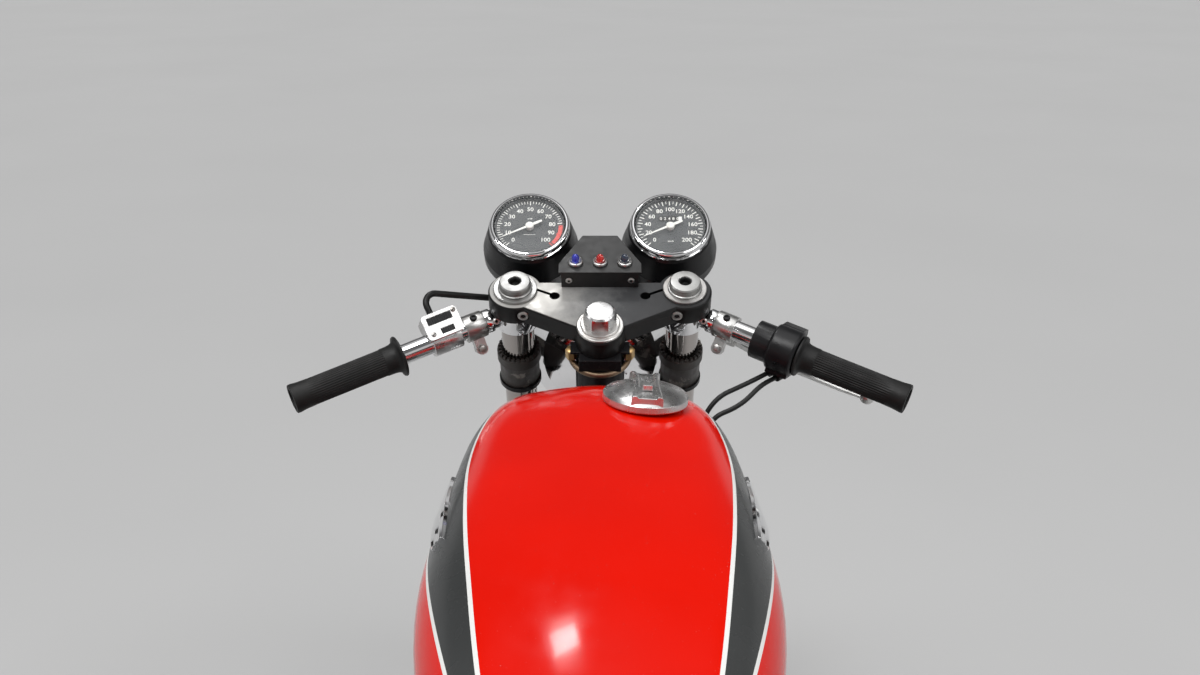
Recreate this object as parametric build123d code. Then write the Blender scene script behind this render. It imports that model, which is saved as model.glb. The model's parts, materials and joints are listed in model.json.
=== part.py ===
"""Cafe racer motorcycle with a longitudinal V-twin engine, wire wheels and clip-on bars, on its centre stand.

Millimetres. +X is forward, +Y is the rider's left, +Z is up. The origin is on the floor, under the middle of the
overall length. Each piece is written to parts/NODE.step. The steering head has a frame of its own, whose Z is the
steering axis, and each wheel has one whose Z is the axle.
"""
import math
import os

from build123d import *

# Overall layout
WHEELBASE = 1390.0
TAIL_OVERHANG = 352.0
RAKE = 27.0
FORK_OFFSET = 55.0
FRONT_TYRE_R = 311.0
REAR_TYRE_R = 322.0
REAR_LIFT = 25.0
SEAT_GAP = 0.3
RUNNING_GAP = 5.0

# Steering head, along the steering axis from the front axle's foot
FORK_HALF = 90.0
STANCHION_R = 18.0
SLIDER_R = 26.5
SLIDER_TOP = 330.0
SLIDER_FOOT = 24.0
LOWER_YOKE_BASE = 440.0
LOWER_YOKE_T = 32.0
TOP_YOKE_BASE = 665.0
TOP_YOKE_T = 22.0
YOKE_FORK_BOSS_R = 29.0
YOKE_STEM_BOSS_R = 27.0
TOP_STEM_BOSS_R = 25.5
TOP_WEB_FORK_R = 20.0
TOP_WEB_STEM_R = 12.6
TOP_YOKE_AHEAD = 13.0
STEM_R = 12.5
HEADSTOCK_R = 26.0
HEADSTOCK_BORE_R = 20.0
HEADSTOCK_BASE = 482.0
DOWN_TUBE_AT = 560.0
HEADSTOCK_TOP = TOP_YOKE_BASE - 24.0

# Fork caps and stem nut
CAP_R = 15.0
CAP_H = 10.0
CAP_RING_R = 23.5
CAP_RING_H = 3.0
CAP_SOCKET_R = 7.5
CAP_SOCKET_DEPTH = 8.0
NUT_FLATS = 30.0
NUT_H = 19.0
WASHER_R = 24.5
WASHER_H = 4.0

# Clip-on bars
CLAMP_TOP_GAP = 0.3
CLAMP_H = 24.0
CLAMP_WALL = 5.0
BAR_R = 11.0
BAR_AHEAD = 5.0
BAR_SWEEP = 26.1
BAR_DROP = 14.0
BAR_HALF_SPAN = 314.0
GRIP_LENGTH = 121.0
GRIP_R = 14.3
GRIP_FLANGE_R = 22.0
GRIP_FLANGE_T = 4.0
LEVER_REACH = 55.0
CLUTCH_DROP = 22.0
BRAKE_DROP = 31.0
LEVER_SHORT = 48.0
LEVER_T = 7.0
SWITCH_DEPTH = 24.0
SWITCH_FACE_W = 28.0
SWITCH_FACE_L = 40.0
SWITCH_TILT = 28.0
CABLE_R = 2.6
LEAD_R = 3.5

# Dials and warning panel, in the steering frame
DIAL_HALF = 77.0
DIAL_FORWARD = 134.0
DIAL_HEIGHT = TOP_YOKE_BASE + 47.0
DIAL_TILT = 11.0
BEZEL_R = 44.0
BEZEL_T = 9.0
BEZEL_WALL = 5.5
DIAL_CUP_R = 53.0
DIAL_CUP_DEPTH = 96.0
DIAL_RECESS = 8.0
DIAL_GLASS_T = 2.0
PANEL_HEIGHT = TOP_YOKE_BASE + 41.0
PANEL_T = 2.5
PANEL_REAR = 59.0
PANEL_FRONT = 118.0
PANEL_REAR_HALF = 44.0
PANEL_FRONT_HALF = 19.0
LAMP_PITCH = 26.0
LAMP_RING_R = 8.0
LAMP_DOME_R = 4.6

# Headlamp
HEADLAMP_R = 89.0
HEADLAMP_DEPTH = 78.0
HEADLAMP_FORWARD = 119.0
HEADLAMP_HEIGHT = 545.0
LAMP_EAR_T = 4.0
LAMP_COLLAR_R = 22.0
LAMP_COLLAR_BASE = 548.0
LAMP_COLLAR_H = 50.0

# Wheels
FRONT_TYRE_W = 86.0
REAR_TYRE_W = 106.0
RIM_SEAT_R = 222.0
RIM_FLANGE_R = 233.0
RIM_INNER_R = 208.0
FRONT_RIM_W = 60.0
REAR_RIM_W = 72.0
FRONT_DRUM_R = 112.0
FRONT_DRUM_W = 84.0
REAR_DRUM_R = 86.0
REAR_DRUM_W = 96.0
SPOKE_R = 2.0
SPOKES = 36
AXLE_R = 8.5
HUB_BORE_R = 8.8

# Chain
CHAIN_LINE = 74.0
CHAIN_PITCH = 15.875
REAR_TEETH = 40
FRONT_TEETH = 15
CHAIN_W = 14.0
CHAIN_HALF_H = 7.5
SPROCKET_T = 7.0

# Mudguards
GUARD_T = 2.5
GUARD_POST_X = -490.0
TAIL_LAMP_Z = 628.0
FRONT_GUARD_GAP = 22.0
FRONT_GUARD_HALF = 54.0
REAR_GUARD_GAP = 14.0
REAR_GUARD_HALF = 66.0

# Frame tubes
FRAME_TUBE_R = 14.0
SPINE_R = 17.0
RAIL_TUBE_R = 11.0
CRADLE_HALF = 98.0
CRADLE_FLOOR = 212.0
CRADLE_FRONT = 315.0
CRADLE_REAR = -172.0
SEAT_RAIL_Z = 700.0
PIVOT_X = -222.0
PIVOT_Z = 375.0
PIVOT_R = 10.0
SWINGARM_HALF = 104.0
SWINGARM_TUBE_R = 13.0
SHOCK_HALF = 138.0
SHOCK_TOP = (-545.0, 700.0)
SHOCK_FOOT = (-628.0, 402.0)
SPRING_R = 25.0
COIL_COUNT = 13
COIL_PITCH = 15.0
SPINE_KNEE = (236.0, 742.0)
SPINE_BEND = 150.0

# Engine
CRANK_X = 108.0
CRANK_Z = 342.0
FRONT_LEAN = 40.0
REAR_LEAN = -32.0
CASE_HALF = 60.0
DECK = 118.0
BARREL_H = 92.0
BARREL_R = 38.0
FIN_COUNT = 8
FIN_T = 2.6
FIN_LENGTH = 122.0
FIN_WIDTH = 128.0
HEAD_H = 74.0
HEAD_FINS = 5
HEAD_CAP_H = 26.0
CARB_HALF = 34.0
CARB_R = 21.0
CARB_UP = 247.0
CARB_CHAMBER_AT = 43.0
CARB_CHAMBER_H = 70.0
HEADER_R = 19.0
SILENCER_R = 42.0
SILENCER_HALF = 172.0
SILENCER_Z = 268.0

# Tank and seat
TUNNEL_HALF = 34.0
TUNNEL_TOP = 782.0
CAP_X = 178.0
CAP_Y = -41.0
FILLER_R = 39.0
FILLER_H = 13.0
FILLER_BASE = 884.0
SEAT_FRONT = -309.0
SEAT_BREAK = -640.0
SEAT_HALF = 108.0
SEAT_TOP = 802.0
SEAT_BASE_Z = 714.3
HUMP_TOP = 872.0
HUMP_END = -905.0

# Stand
STAND_PIVOT_X = -118.0
STAND_PIVOT_Z = 176.0
STAND_FOOT_X = -88.0
STAND_HALF = 114.0
STAND_TUBE_R = 12.0

# Places worked out from the layout
LENGTH = FRONT_TYRE_R + WHEELBASE + TAIL_OVERHANG
FRONT_AXLE = Vector(LENGTH / 2 - FRONT_TYRE_R, 0, FRONT_TYRE_R)
REAR_AXLE = Vector(FRONT_AXLE.X - WHEELBASE, 0, REAR_TYRE_R + REAR_LIFT)
HEAD_AXIS = Vector(-math.sin(math.radians(RAKE)), 0, math.cos(math.radians(RAKE)))
HEAD_FORWARD = Vector(math.cos(math.radians(RAKE)), 0, math.sin(math.radians(RAKE)))
HEAD_ORIGIN = FRONT_AXLE - HEAD_FORWARD * FORK_OFFSET
STEER = Plane(origin=HEAD_ORIGIN, x_dir=HEAD_FORWARD, z_dir=HEAD_AXIS).location
FRONT_WHEEL = Plane(origin=FRONT_AXLE, x_dir=(1, 0, 0), z_dir=(0, -1, 0)).location
REAR_WHEEL = Plane(origin=REAR_AXLE, x_dir=(1, 0, 0), z_dir=(0, -1, 0)).location
TOP_YOKE_TOP = TOP_YOKE_BASE + TOP_YOKE_T
FRONT_GUARD_R = FRONT_TYRE_R + FRONT_GUARD_GAP
REAR_GUARD_R = REAR_TYRE_R + REAR_GUARD_GAP
REAR_PITCH_R = CHAIN_PITCH / (2 * math.sin(math.pi / REAR_TEETH))
FRONT_PITCH_R = CHAIN_PITCH / (2 * math.sin(math.pi / FRONT_TEETH))
GEARBOX_OUT = Vector(-92.0, 0, 372.0)

MIN_END = (Align.CENTER, Align.CENTER, Align.MIN)


def head_point(forward, left, up):
    """A point given in the steering frame, in the model's frame."""
    return HEAD_ORIGIN + HEAD_FORWARD * forward + Vector(0, left, 0) + HEAD_AXIS * up


def rod(start, end, radius):
    """A round bar from one point to another."""
    start, end = Vector(start), Vector(end)
    frame = Plane(origin=start, z_dir=end - start)
    return frame.location * Cylinder(radius, (end - start).length, align=MIN_END)


def tube(points, radius, bend):
    """A round bar along straight runs joined by tangent arcs, with one bend radius or one for each corner."""
    path = FilletPolyline(*[Vector(*p) for p in points], radius=bend)
    section = Plane(origin=path @ 0, z_dir=path % 0).location * Circle(radius)
    return sweep(section, path=path)


def cable(points, radius):
    """A cable through the points, with each arc as large as the shorter run beside it leaves room for."""
    points = [Vector(*point) for point in points]
    bends = []
    for before, corner, after in zip(points, points[1:], points[2:]):
        half_turn = math.radians((corner - before).get_angle(after - corner)) / 2
        bends.append(0.45 * min((corner - before).length, (after - corner).length) / math.tan(half_turn))
    return tube(points, radius, bends)


def mirrored(place):
    """The point on the right that answers to a place on the left."""
    return Vector(place.position.X, -place.position.Y, place.position.Z)


def turned(outline, place=Location()):
    """A solid turned about the local Z from an outline of (radius, height) points."""
    face = make_face(Polyline(*outline, close=True))
    return place * revolve(Plane.XZ * face, Axis.Z)


def side_plate(outline, middle, thickness):
    """A plate whose outline is given as (x, z) points and whose middle plane is at y = middle."""
    face = make_face(Polyline(*outline, close=True))
    plate = extrude(Plane.XZ * face, thickness / 2, both=True)
    return Pos(0, middle, 0) * plate


def both_sides(shape):
    """The shape on the left and its mirror image on the right, as one node's solids."""
    return [shape, mirror(shape, about=Plane.XZ)]


def aim(origin, along, x_hint=(1, 0, 0)):
    """A place at origin whose Z points along a direction."""
    along = Vector(*along).normalized()
    x_dir = Vector(*x_hint) - along * along.dot(Vector(*x_hint))
    return Plane(origin=Vector(*origin), x_dir=x_dir, z_dir=along).location


NODES = {}


def keep(name, *shapes):
    """Stores one node's solids under its name."""
    solids = []
    for shape in shapes:
        for item in shape if isinstance(shape, list) else [shape]:
            solids.extend(item.solids())
    NODES[name] = solids


# Wheels
def tyre(place, outer_r, width, rim_width):
    """A tyre with a round crown, closed at the rim's seat."""
    half, bead, lip = width / 2, rim_width / 2 - 5 - SEAT_GAP, rim_width / 2 + 2
    seat, over = RIM_SEAT_R + SEAT_GAP, RIM_FLANGE_R + SEAT_GAP
    side_r = (outer_r + seat) / 2 + 2
    edge = [Line((seat, -bead), (seat, bead))]
    for side in (1, -1):
        half_edge = [
            Line((seat, side * bead), (over, side * (bead + 1))),
            Line((over, side * (bead + 1)), (over, side * lip)),
            ThreePointArc((over, side * lip), ((over + side_r) / 2 - 4, side * (half + lip) / 1.88), (side_r, side * half))]
        edge += half_edge
    edge.append(ThreePointArc((side_r, half), (outer_r, 0), (side_r, -half)))
    return place * revolve(Plane.XZ * make_face(edge), Axis.Z)


def rim(width):
    """A flanged rim: a shallow well between two rolled edges."""
    half = width / 2
    seat = RIM_SEAT_R
    outline = [
        (seat, -half + 5), (seat, half - 5), (RIM_FLANGE_R, half - 4), (RIM_FLANGE_R, half),
        (seat - 4, half), (RIM_INNER_R, half * 0.45), (RIM_INNER_R, -half * 0.45), (seat - 4, -half),
        (RIM_FLANGE_R, -half), (RIM_FLANGE_R, -half + 4),
    ]
    return turned(outline)


def spokes(flange_r, flange_offset):
    """Crossed spokes from two hub flanges to the rim, half of them on each flange."""
    per_flange = SPOKES // 2
    step = 360 / per_flange
    cross = 2.4 * step
    bars = []
    for flange in (-1, 1):
        for i in range(per_flange):
            lean = cross if i % 2 else -cross
            hub_angle = math.radians(i * step + (flange > 0) * step / 2)
            rim_angle = hub_angle + math.radians(lean * (1 - flange_r / RIM_INNER_R))
            a = (flange_r * math.cos(hub_angle), flange_r * math.sin(hub_angle), flange * flange_offset)
            reach = RIM_INNER_R + 2
            b = (reach * math.cos(rim_angle), reach * math.sin(rim_angle), flange * 7)
            bars.append(rod(a, b, SPOKE_R))
    return bars


def drum_hub(drum_r, drum_w, fins):
    """A full-width brake drum with raised spoke flanges, cooling ribs and an axle bore."""
    half = drum_w / 2
    rib = drum_r - 6
    outline = [(HUB_BORE_R, -half), (drum_r + 6, -half), (drum_r + 6, -half + 6), (rib, -half + 7)]
    pitch = (drum_w - 14) / fins
    for i in range(fins):
        z = -half + 7 + i * pitch
        outline += [(rib, z + pitch * 0.3), (drum_r, z + pitch * 0.35)]
        outline += [(drum_r, z + pitch * 0.65), (rib, z + pitch * 0.7)]
    outline += [(rib, half - 7), (drum_r + 6, half - 6), (drum_r + 6, half), (HUB_BORE_R, half)]
    return turned(outline)


def sprocket(teeth, pitch_r, thickness, bore_r):
    """A chain wheel with one notch for each roller."""
    disc = Cylinder(pitch_r + 2.5, thickness)
    disc -= Cylinder(bore_r, thickness * 2)
    notch = Pos(pitch_r + 0.5, 0, 0) * Cylinder(5.0, thickness * 2)
    return disc - [Rot(0, 0, i * 360 / teeth) * notch for i in range(teeth)]


def wheels():
    keep("front_tyre", tyre(FRONT_WHEEL, FRONT_TYRE_R, FRONT_TYRE_W, FRONT_RIM_W))
    keep("rear_tyre", tyre(REAR_WHEEL, REAR_TYRE_R, REAR_TYRE_W, REAR_RIM_W))
    front = drum_hub(FRONT_DRUM_R, FRONT_DRUM_W, 6)
    front = front.fuse(rim(FRONT_RIM_W), *spokes(FRONT_DRUM_R, FRONT_DRUM_W / 2 - 3))
    keep("front_wheel", FRONT_WHEEL * front)
    rear = drum_hub(REAR_DRUM_R, REAR_DRUM_W, 7)
    carrier = Pos(0, 0, -(REAR_DRUM_W / 2 + CHAIN_LINE - SPROCKET_T / 2) / 2)
    carrier_h = CHAIN_LINE - SPROCKET_T / 2 - REAR_DRUM_W / 2
    carrier_ring = carrier * (Cylinder(52, carrier_h) - Cylinder(HUB_BORE_R, carrier_h * 2))
    chain_wheel = Pos(0, 0, -CHAIN_LINE) * sprocket(REAR_TEETH, REAR_PITCH_R, SPROCKET_T, HUB_BORE_R)
    rear = rear.fuse(carrier_ring, chain_wheel, rim(REAR_RIM_W), *spokes(REAR_DRUM_R, REAR_DRUM_W / 2 - 3))
    keep("rear_wheel", REAR_WHEEL * rear)


# Chain, a closed belt round both sprockets
def drive_chain():
    rear, front = Vector(REAR_AXLE.X, REAR_AXLE.Z), Vector(GEARBOX_OUT.X, GEARBOX_OUT.Z)
    span = front - rear
    lean = math.asin((REAR_PITCH_R - FRONT_PITCH_R) / span.length)
    slope = math.atan2(span.Y, span.X)

    def belt(extra):
        big, small = REAR_PITCH_R + extra, FRONT_PITCH_R + extra
        up, down = slope + math.pi / 2 - lean, slope - math.pi / 2 + lean

        def at(centre, radius, angle):
            return (centre.X + radius * math.cos(angle), centre.Y + radius * math.sin(angle))

        edges = [
            Line(at(rear, big, up), at(front, small, up)),
            ThreePointArc(at(front, small, up), at(front, small, slope), at(front, small, down)),
            Line(at(front, small, down), at(rear, big, down)),
            ThreePointArc(at(rear, big, down), at(rear, big, slope + math.pi), at(rear, big, up)),
        ]
        return make_face(edges)

    link = extrude(Plane.XZ * (belt(CHAIN_HALF_H) - belt(-CHAIN_HALF_H)), CHAIN_W / 2, both=True)
    groove = extrude(Plane.XZ * belt(4.0), SPROCKET_T / 2 + 0.8, both=True)
    keep("drive_chain", Pos(0, CHAIN_LINE, 0) * (link - groove))
    place = Pos(GEARBOX_OUT.X, CHAIN_LINE, GEARBOX_OUT.Z) * Rot(90, 0, 0)
    boss = Pos(GEARBOX_OUT.X, 0, GEARBOX_OUT.Z) * Rot(-90, 0, 0) * Pos(0, 0, CASE_HALF + SEAT_GAP) * Cylinder(
        15, CHAIN_LINE - CASE_HALF, align=MIN_END)
    keep("drive_sprocket", boss + place * sprocket(FRONT_TEETH, FRONT_PITCH_R, SPROCKET_T, 8))


# Fork and yokes
def yoke_outline(front_edge, stem_boss_r, web_fork_r, web_stem_r):
    """The plan of a yoke: two fork bosses, the stem's boss and a web whose rear edges touch two smaller circles."""
    fork = [Pos(FORK_OFFSET, side * FORK_HALF) * Circle(YOKE_FORK_BOSS_R) for side in (-1, 1)]
    turn = math.acos((web_fork_r - web_stem_r) / math.hypot(FORK_OFFSET, FORK_HALF))
    rear = math.atan2(FORK_HALF, FORK_OFFSET) + turn
    fork_x = FORK_OFFSET + web_fork_r * math.cos(rear)
    fork_y = FORK_HALF + web_fork_r * math.sin(rear)
    stem_x = web_stem_r * math.cos(rear)
    stem_y = web_stem_r * math.sin(rear)
    web = Polygon(
        (fork_x, fork_y), (stem_x, stem_y), (stem_x, -stem_y), (fork_x, -fork_y),
        (front_edge, -FORK_HALF), (front_edge, FORK_HALF), align=None)
    return Sketch() + [*fork, Circle(stem_boss_r), web]


def top_yoke():
    """The top yoke with its fork and stem bores, pinch slots and the seats of the pinch bolts."""
    outline = yoke_outline(FORK_OFFSET + TOP_YOKE_AHEAD, TOP_STEM_BOSS_R, TOP_WEB_FORK_R, TOP_WEB_STEM_R)
    yoke = extrude(outline, TOP_YOKE_T)
    yoke = chamfer(yoke.edges().group_by(Axis.Z)[-1], 2.0)
    through = 3 * TOP_YOKE_T
    for side in (-1, 1):
        yoke -= Pos(FORK_OFFSET, side * FORK_HALF) * Cylinder(STANCHION_R + SEAT_GAP, through)
        hole = Pos(FORK_OFFSET - 9, side * (FORK_HALF - 42)) * Cylinder(5.5, through)
        slot = Pos(FORK_OFFSET - 3, side * (FORK_HALF - 30)) * Rot(0, 0, -side * 25.6) * Box(3.4, 32, through)
        bolt = Pos(FORK_OFFSET - 45, side * (FORK_HALF - 9), TOP_YOKE_T / 2) * Rot(0, 90, 0) * Cylinder(
            6.5, 24, align=MIN_END)
        yoke -= [hole, slot, bolt]
    yoke -= Cylinder(STEM_R + SEAT_GAP, through)
    keep("top_yoke", STEER * Pos(0, 0, TOP_YOKE_BASE) * yoke)


def lower_yoke():
    outline = yoke_outline(FORK_OFFSET + 14, YOKE_STEM_BOSS_R, YOKE_FORK_BOSS_R, YOKE_STEM_BOSS_R)
    yoke = extrude(outline, LOWER_YOKE_T)
    yoke = fillet(yoke.edges().group_by(Axis.Z)[0], 4.0)
    for side in (-1, 1):
        yoke -= Pos(FORK_OFFSET, side * FORK_HALF) * Cylinder(STANCHION_R + SEAT_GAP, 3 * LOWER_YOKE_T)
    stem_h = TOP_YOKE_TOP - LOWER_YOKE_BASE - 2
    stem = Pos(0, 0, 2) * Cylinder(STEM_R, stem_h - 2, align=MIN_END)
    bearing_h = HEADSTOCK_BASE - LOWER_YOKE_BASE - SEAT_GAP
    lower_race = Cylinder(24, bearing_h, align=MIN_END)
    upper_race = Pos(0, 0, HEADSTOCK_TOP + SEAT_GAP - LOWER_YOKE_BASE) * Cylinder(
        21, TOP_YOKE_BASE - HEADSTOCK_TOP - 2 * SEAT_GAP, align=MIN_END)
    keep("lower_yoke", STEER * Pos(0, 0, LOWER_YOKE_BASE) * yoke.fuse(stem, lower_race, upper_race))


def stem_nut():
    washer = Cylinder(WASHER_R, WASHER_H, align=MIN_END)
    hexagon = extrude(RegularPolygon(NUT_FLATS / 2, 6, major_radius=False), NUT_H)
    dome = Cylinder(NUT_FLATS / 2 + 2.2, NUT_H, align=MIN_END)
    dome = chamfer(dome.edges().group_by(Axis.Z)[-1], 3.0)
    nut = Pos(0, 0, WASHER_H) * (hexagon & dome)
    base = Pos(0, 0, TOP_YOKE_TOP + SEAT_GAP)
    keep("stem_nut", STEER * base * (washer + Cylinder(19, WASHER_H + 2.5, align=MIN_END) + nut))


def fork_legs():
    caps, tubes, sliders = [], [], []
    for side in (-1, 1):
        leg = STEER * Pos(FORK_OFFSET, side * FORK_HALF, 0)
        tube_top = TOP_YOKE_TOP - 4
        tubes.append(leg * Pos(0, 0, SLIDER_TOP) * Cylinder(STANCHION_R, tube_top - SLIDER_TOP, align=MIN_END))
        outline = [
            (0, 0), (CAP_RING_R, 0), (CAP_RING_R, CAP_RING_H), (CAP_R + 1.5, CAP_RING_H),
            (CAP_R + 1.5, CAP_RING_H + 4), (CAP_R, CAP_RING_H + 5), (CAP_R, CAP_H), (CAP_R - 4, CAP_H + 3), (0, CAP_H + 3)]
        cap = turned(outline)
        cap -= Pos(0, 0, CAP_H + 3 - CAP_SOCKET_DEPTH) * Cylinder(CAP_SOCKET_R, 20, align=MIN_END)
        caps.append(leg * Pos(0, 0, TOP_YOKE_TOP + SEAT_GAP) * cap)
        outline = [
            (0, -SLIDER_FOOT), (18, -SLIDER_FOOT), (SLIDER_R, -SLIDER_FOOT + 14), (SLIDER_R - 2, 40),
            (SLIDER_R, 60), (SLIDER_R, SLIDER_TOP - 40), (SLIDER_R + 2, SLIDER_TOP - 34),
            (SLIDER_R + 2, SLIDER_TOP - 14), (SLIDER_R - 3, SLIDER_TOP - 6), (STANCHION_R + 4, SLIDER_TOP - SEAT_GAP),
            (0, SLIDER_TOP - SEAT_GAP)]
        slider = turned(outline)
        slider -= Rot(90, 0, 0) * Cylinder(AXLE_R + SEAT_GAP, 80)
        sliders.append(leg * slider)
    keep("fork_caps", *caps)
    keep("fork_stanchions", *tubes)
    keep("fork_sliders", *sliders)
    nut_reach = FORK_HALF + SLIDER_R + 10
    axle = rod(FRONT_AXLE - Vector(0, nut_reach, 0), FRONT_AXLE + Vector(0, nut_reach, 0), AXLE_R)
    axle_nuts = [
        FRONT_WHEEL * Pos(0, 0, side * (FORK_HALF + SLIDER_R + 6)) * extrude(
            RegularPolygon(13, 6), 5, both=True) for side in (-1, 1)]
    keep("front_axle", axle.fuse(*axle_nuts))


def headlamp_brackets():
    brackets = []
    lamp_y = HEADLAMP_R + 6
    for side in (-1, 1):
        collar = Cylinder(LAMP_COLLAR_R, LAMP_COLLAR_H, align=MIN_END)
        ring = Pos(0, 0, LAMP_COLLAR_H - 6) * Cylinder(LAMP_COLLAR_R + 1, 6, align=MIN_END)
        collar = Pos(FORK_OFFSET, side * FORK_HALF, LAMP_COLLAR_BASE) * (collar + ring)
        ear = make_face(Polyline(
            (FORK_OFFSET, LAMP_COLLAR_BASE + 6), (FORK_OFFSET, LAMP_COLLAR_BASE + LAMP_COLLAR_H - 6),
            (HEADLAMP_FORWARD + 4, HEADLAMP_HEIGHT + 16), (HEADLAMP_FORWARD + 14, HEADLAMP_HEIGHT),
            (HEADLAMP_FORWARD, HEADLAMP_HEIGHT - 14), (HEADLAMP_FORWARD - 14, HEADLAMP_HEIGHT - 4), close=True))
        ear = Pos(0, side * lamp_y, 0) * extrude(Plane.XZ * ear, LAMP_EAR_T / 2, both=True)
        bored = (collar + ear) - Pos(FORK_OFFSET, side * FORK_HALF, LAMP_COLLAR_BASE) * Cylinder(
            STANCHION_R + SEAT_GAP, 4 * LAMP_COLLAR_H)
        brackets.append(STEER * bored)
    keep("headlamp_brackets", *brackets)


def headlamp():
    place = aim(head_point(HEADLAMP_FORWARD, 0, HEADLAMP_HEIGHT), (1, 0, 0), (0, 0, 1))
    wall = 2.5
    bowl = [
        (0, -HEADLAMP_DEPTH), (34, -HEADLAMP_DEPTH + 5), (64, -HEADLAMP_DEPTH + 24), (82, -22),
        (HEADLAMP_R - 3, 0), (HEADLAMP_R - 3, 14), (HEADLAMP_R - 3 - wall, 14), (HEADLAMP_R - 3 - wall, 0),
        (82 - wall, -21), (64 - wall, -HEADLAMP_DEPTH + 27), (33, -HEADLAMP_DEPTH + 8), (0, -HEADLAMP_DEPTH + wall)]
    bolts = [Pos(0, side * (HEADLAMP_R - 0.5), 4) * Rot(90, 0, 0) * Cylinder(7, 9) for side in (-1, 1)]
    rim_ring = [
        (HEADLAMP_R - 8, 13), (HEADLAMP_R, 13), (HEADLAMP_R, 22), (HEADLAMP_R - 3, 27), (HEADLAMP_R - 8, 28)]
    keep("headlamp_shell", place * turned(bowl).fuse(turned(rim_ring), *bolts))
    glass_r = HEADLAMP_R - 8 - SEAT_GAP
    lens = [(0, 18), (glass_r, 18), (glass_r, 22), (glass_r - 12, 27), (glass_r - 32, 32), (glass_r - 56, 35.5), (0, 37)]
    keep("headlamp_glass", place * turned(lens))


# Bars and what they carry
def bar_frame():
    """The left bar: its root beside the fork leg, with Z outwards along the bar and X ahead of it."""
    root = head_point(FORK_OFFSET + BAR_AHEAD, FORK_HALF, TOP_YOKE_BASE - 2 * CLAMP_TOP_GAP - BAR_R)
    sweep_back = math.radians(BAR_SWEEP)
    drop = math.radians(BAR_DROP)
    along = Vector(-math.sin(sweep_back) * math.cos(drop), math.cos(sweep_back) * math.cos(drop), -math.sin(drop))
    length = (BAR_HALF_SPAN - FORK_HALF) / along.Y
    return root, along, length


BAR_ROOT, BAR_ALONG, BAR_LENGTH = bar_frame()
BAR = aim(BAR_ROOT, (BAR_ALONG.X, BAR_ALONG.Y, BAR_ALONG.Z))
GRIP_START = BAR_LENGTH - GRIP_LENGTH
PERCH_AT = GRIP_START - 84
SWITCH_AT = GRIP_START - 50
SWITCH = BAR * Pos(0, 0, SWITCH_AT) * Rot(0, 0, SWITCH_TILT)
SWITCH_MIDDLE = Pos(-8, -12, 0)
THROTTLE_R = 25.0
THROTTLE_W = 30.0
THROTTLE = BAR * Pos(0, 0, GRIP_START - THROTTLE_W / 2 - SEAT_GAP)
SPOUTS = [aim((6.7, 23.6, -3.5), (-0.69, 0.52, -0.50)), aim((6.1, 25.7, 5.3), (-0.85, 0.37, -0.37))]


def clip_ons():
    clamp_r = STANCHION_R + CLAMP_WALL
    base = TOP_YOKE_BASE - CLAMP_TOP_GAP - CLAMP_H
    clamp = STEER * Pos(FORK_OFFSET, FORK_HALF, base) * Cylinder(clamp_r, CLAMP_H, align=MIN_END)
    socket = BAR * Pos(0, 0, YOKE_FORK_BOSS_R + 3) * Cylinder(BAR_R + 2, 8, align=MIN_END)
    bar = BAR * Pos(0, 0, clamp_r - 6) * Cylinder(BAR_R, BAR_LENGTH - clamp_r + 6 - 3, align=MIN_END)
    bore = STEER * Pos(FORK_OFFSET, FORK_HALF, base) * Cylinder(STANCHION_R + SEAT_GAP, 4 * CLAMP_H)
    keep("clip_ons", both_sides(clamp.fuse(socket, bar) - bore))


def grips():
    bore = BAR_R + SEAT_GAP
    outline = [
        (bore, 0), (GRIP_FLANGE_R, 0), (GRIP_FLANGE_R, GRIP_FLANGE_T), (GRIP_R + 1.5, GRIP_FLANGE_T + 5),
        (GRIP_R, GRIP_FLANGE_T + 12), (GRIP_R, GRIP_LENGTH - 14), (GRIP_R + 1.2, GRIP_LENGTH - 6),
        (GRIP_R + 1.0, GRIP_LENGTH), (bore, GRIP_LENGTH)]
    keep("grips", both_sides(BAR * Pos(0, 0, GRIP_START) * turned(outline)))


def levers():
    """The clutch lever on the left and the front brake lever on the right, each with its perch."""
    perch_w = 22.0
    bore = BAR_R + SEAT_GAP
    sleeve = Cylinder(BAR_R + 3.5, perch_w)
    arm = Pos(LEVER_REACH / 4 + 6, 0, 0) * Box(LEVER_REACH / 2, 12, 16)
    pivot = Pos(LEVER_REACH / 2 + 10, 0, 0) * Rot(90, 0, 0) * Cylinder(8, 14)
    lug = Rot(0, 0, 75) * Pos(BAR_R + 8, 0, 0) * Box(14, 9, 12)
    lug_eye = Rot(0, 0, 75) * Pos(BAR_R + 14, 0, 0) * Rot(90, 0, 0) * Cylinder(6.5, 9)
    eye_hole = Rot(0, 0, 75) * Pos(BAR_R + 14, 0, 0) * Rot(90, 0, 0) * Cylinder(3, 20)
    perch = sleeve.fuse(arm, pivot, lug, lug_eye) - [Cylinder(bore, 80), eye_hole]

    reach = LEVER_REACH
    tip = BAR_LENGTH - PERCH_AT - LEVER_SHORT
    pivot_x = LEVER_REACH / 2 + 10
    outline = Polyline(
        (pivot_x - 6, -8), (pivot_x + 10, -8), (pivot_x + 14, 8), (reach + 10, 34), (reach + 8, tip - 30),
        (reach + 2, tip), (reach - 5, tip), (reach - 3, tip - 30), (reach - 2, 40), (pivot_x - 2, 14), close=True)
    blade = extrude(Plane.XZ * make_face(outline), LEVER_T / 2, both=True)
    ball = Pos(reach - 1, 0, tip + 2) * Sphere(8)
    whole = blade.fuse(ball, perch)
    clutch = BAR * Pos(0, 0, PERCH_AT) * Rot(0, 0, CLUTCH_DROP) * whole
    brake = BAR * Pos(0, 0, PERCH_AT) * Rot(0, 0, BRAKE_DROP) * whole
    keep("levers", clutch, mirror(brake, about=Plane.XZ))


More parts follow.
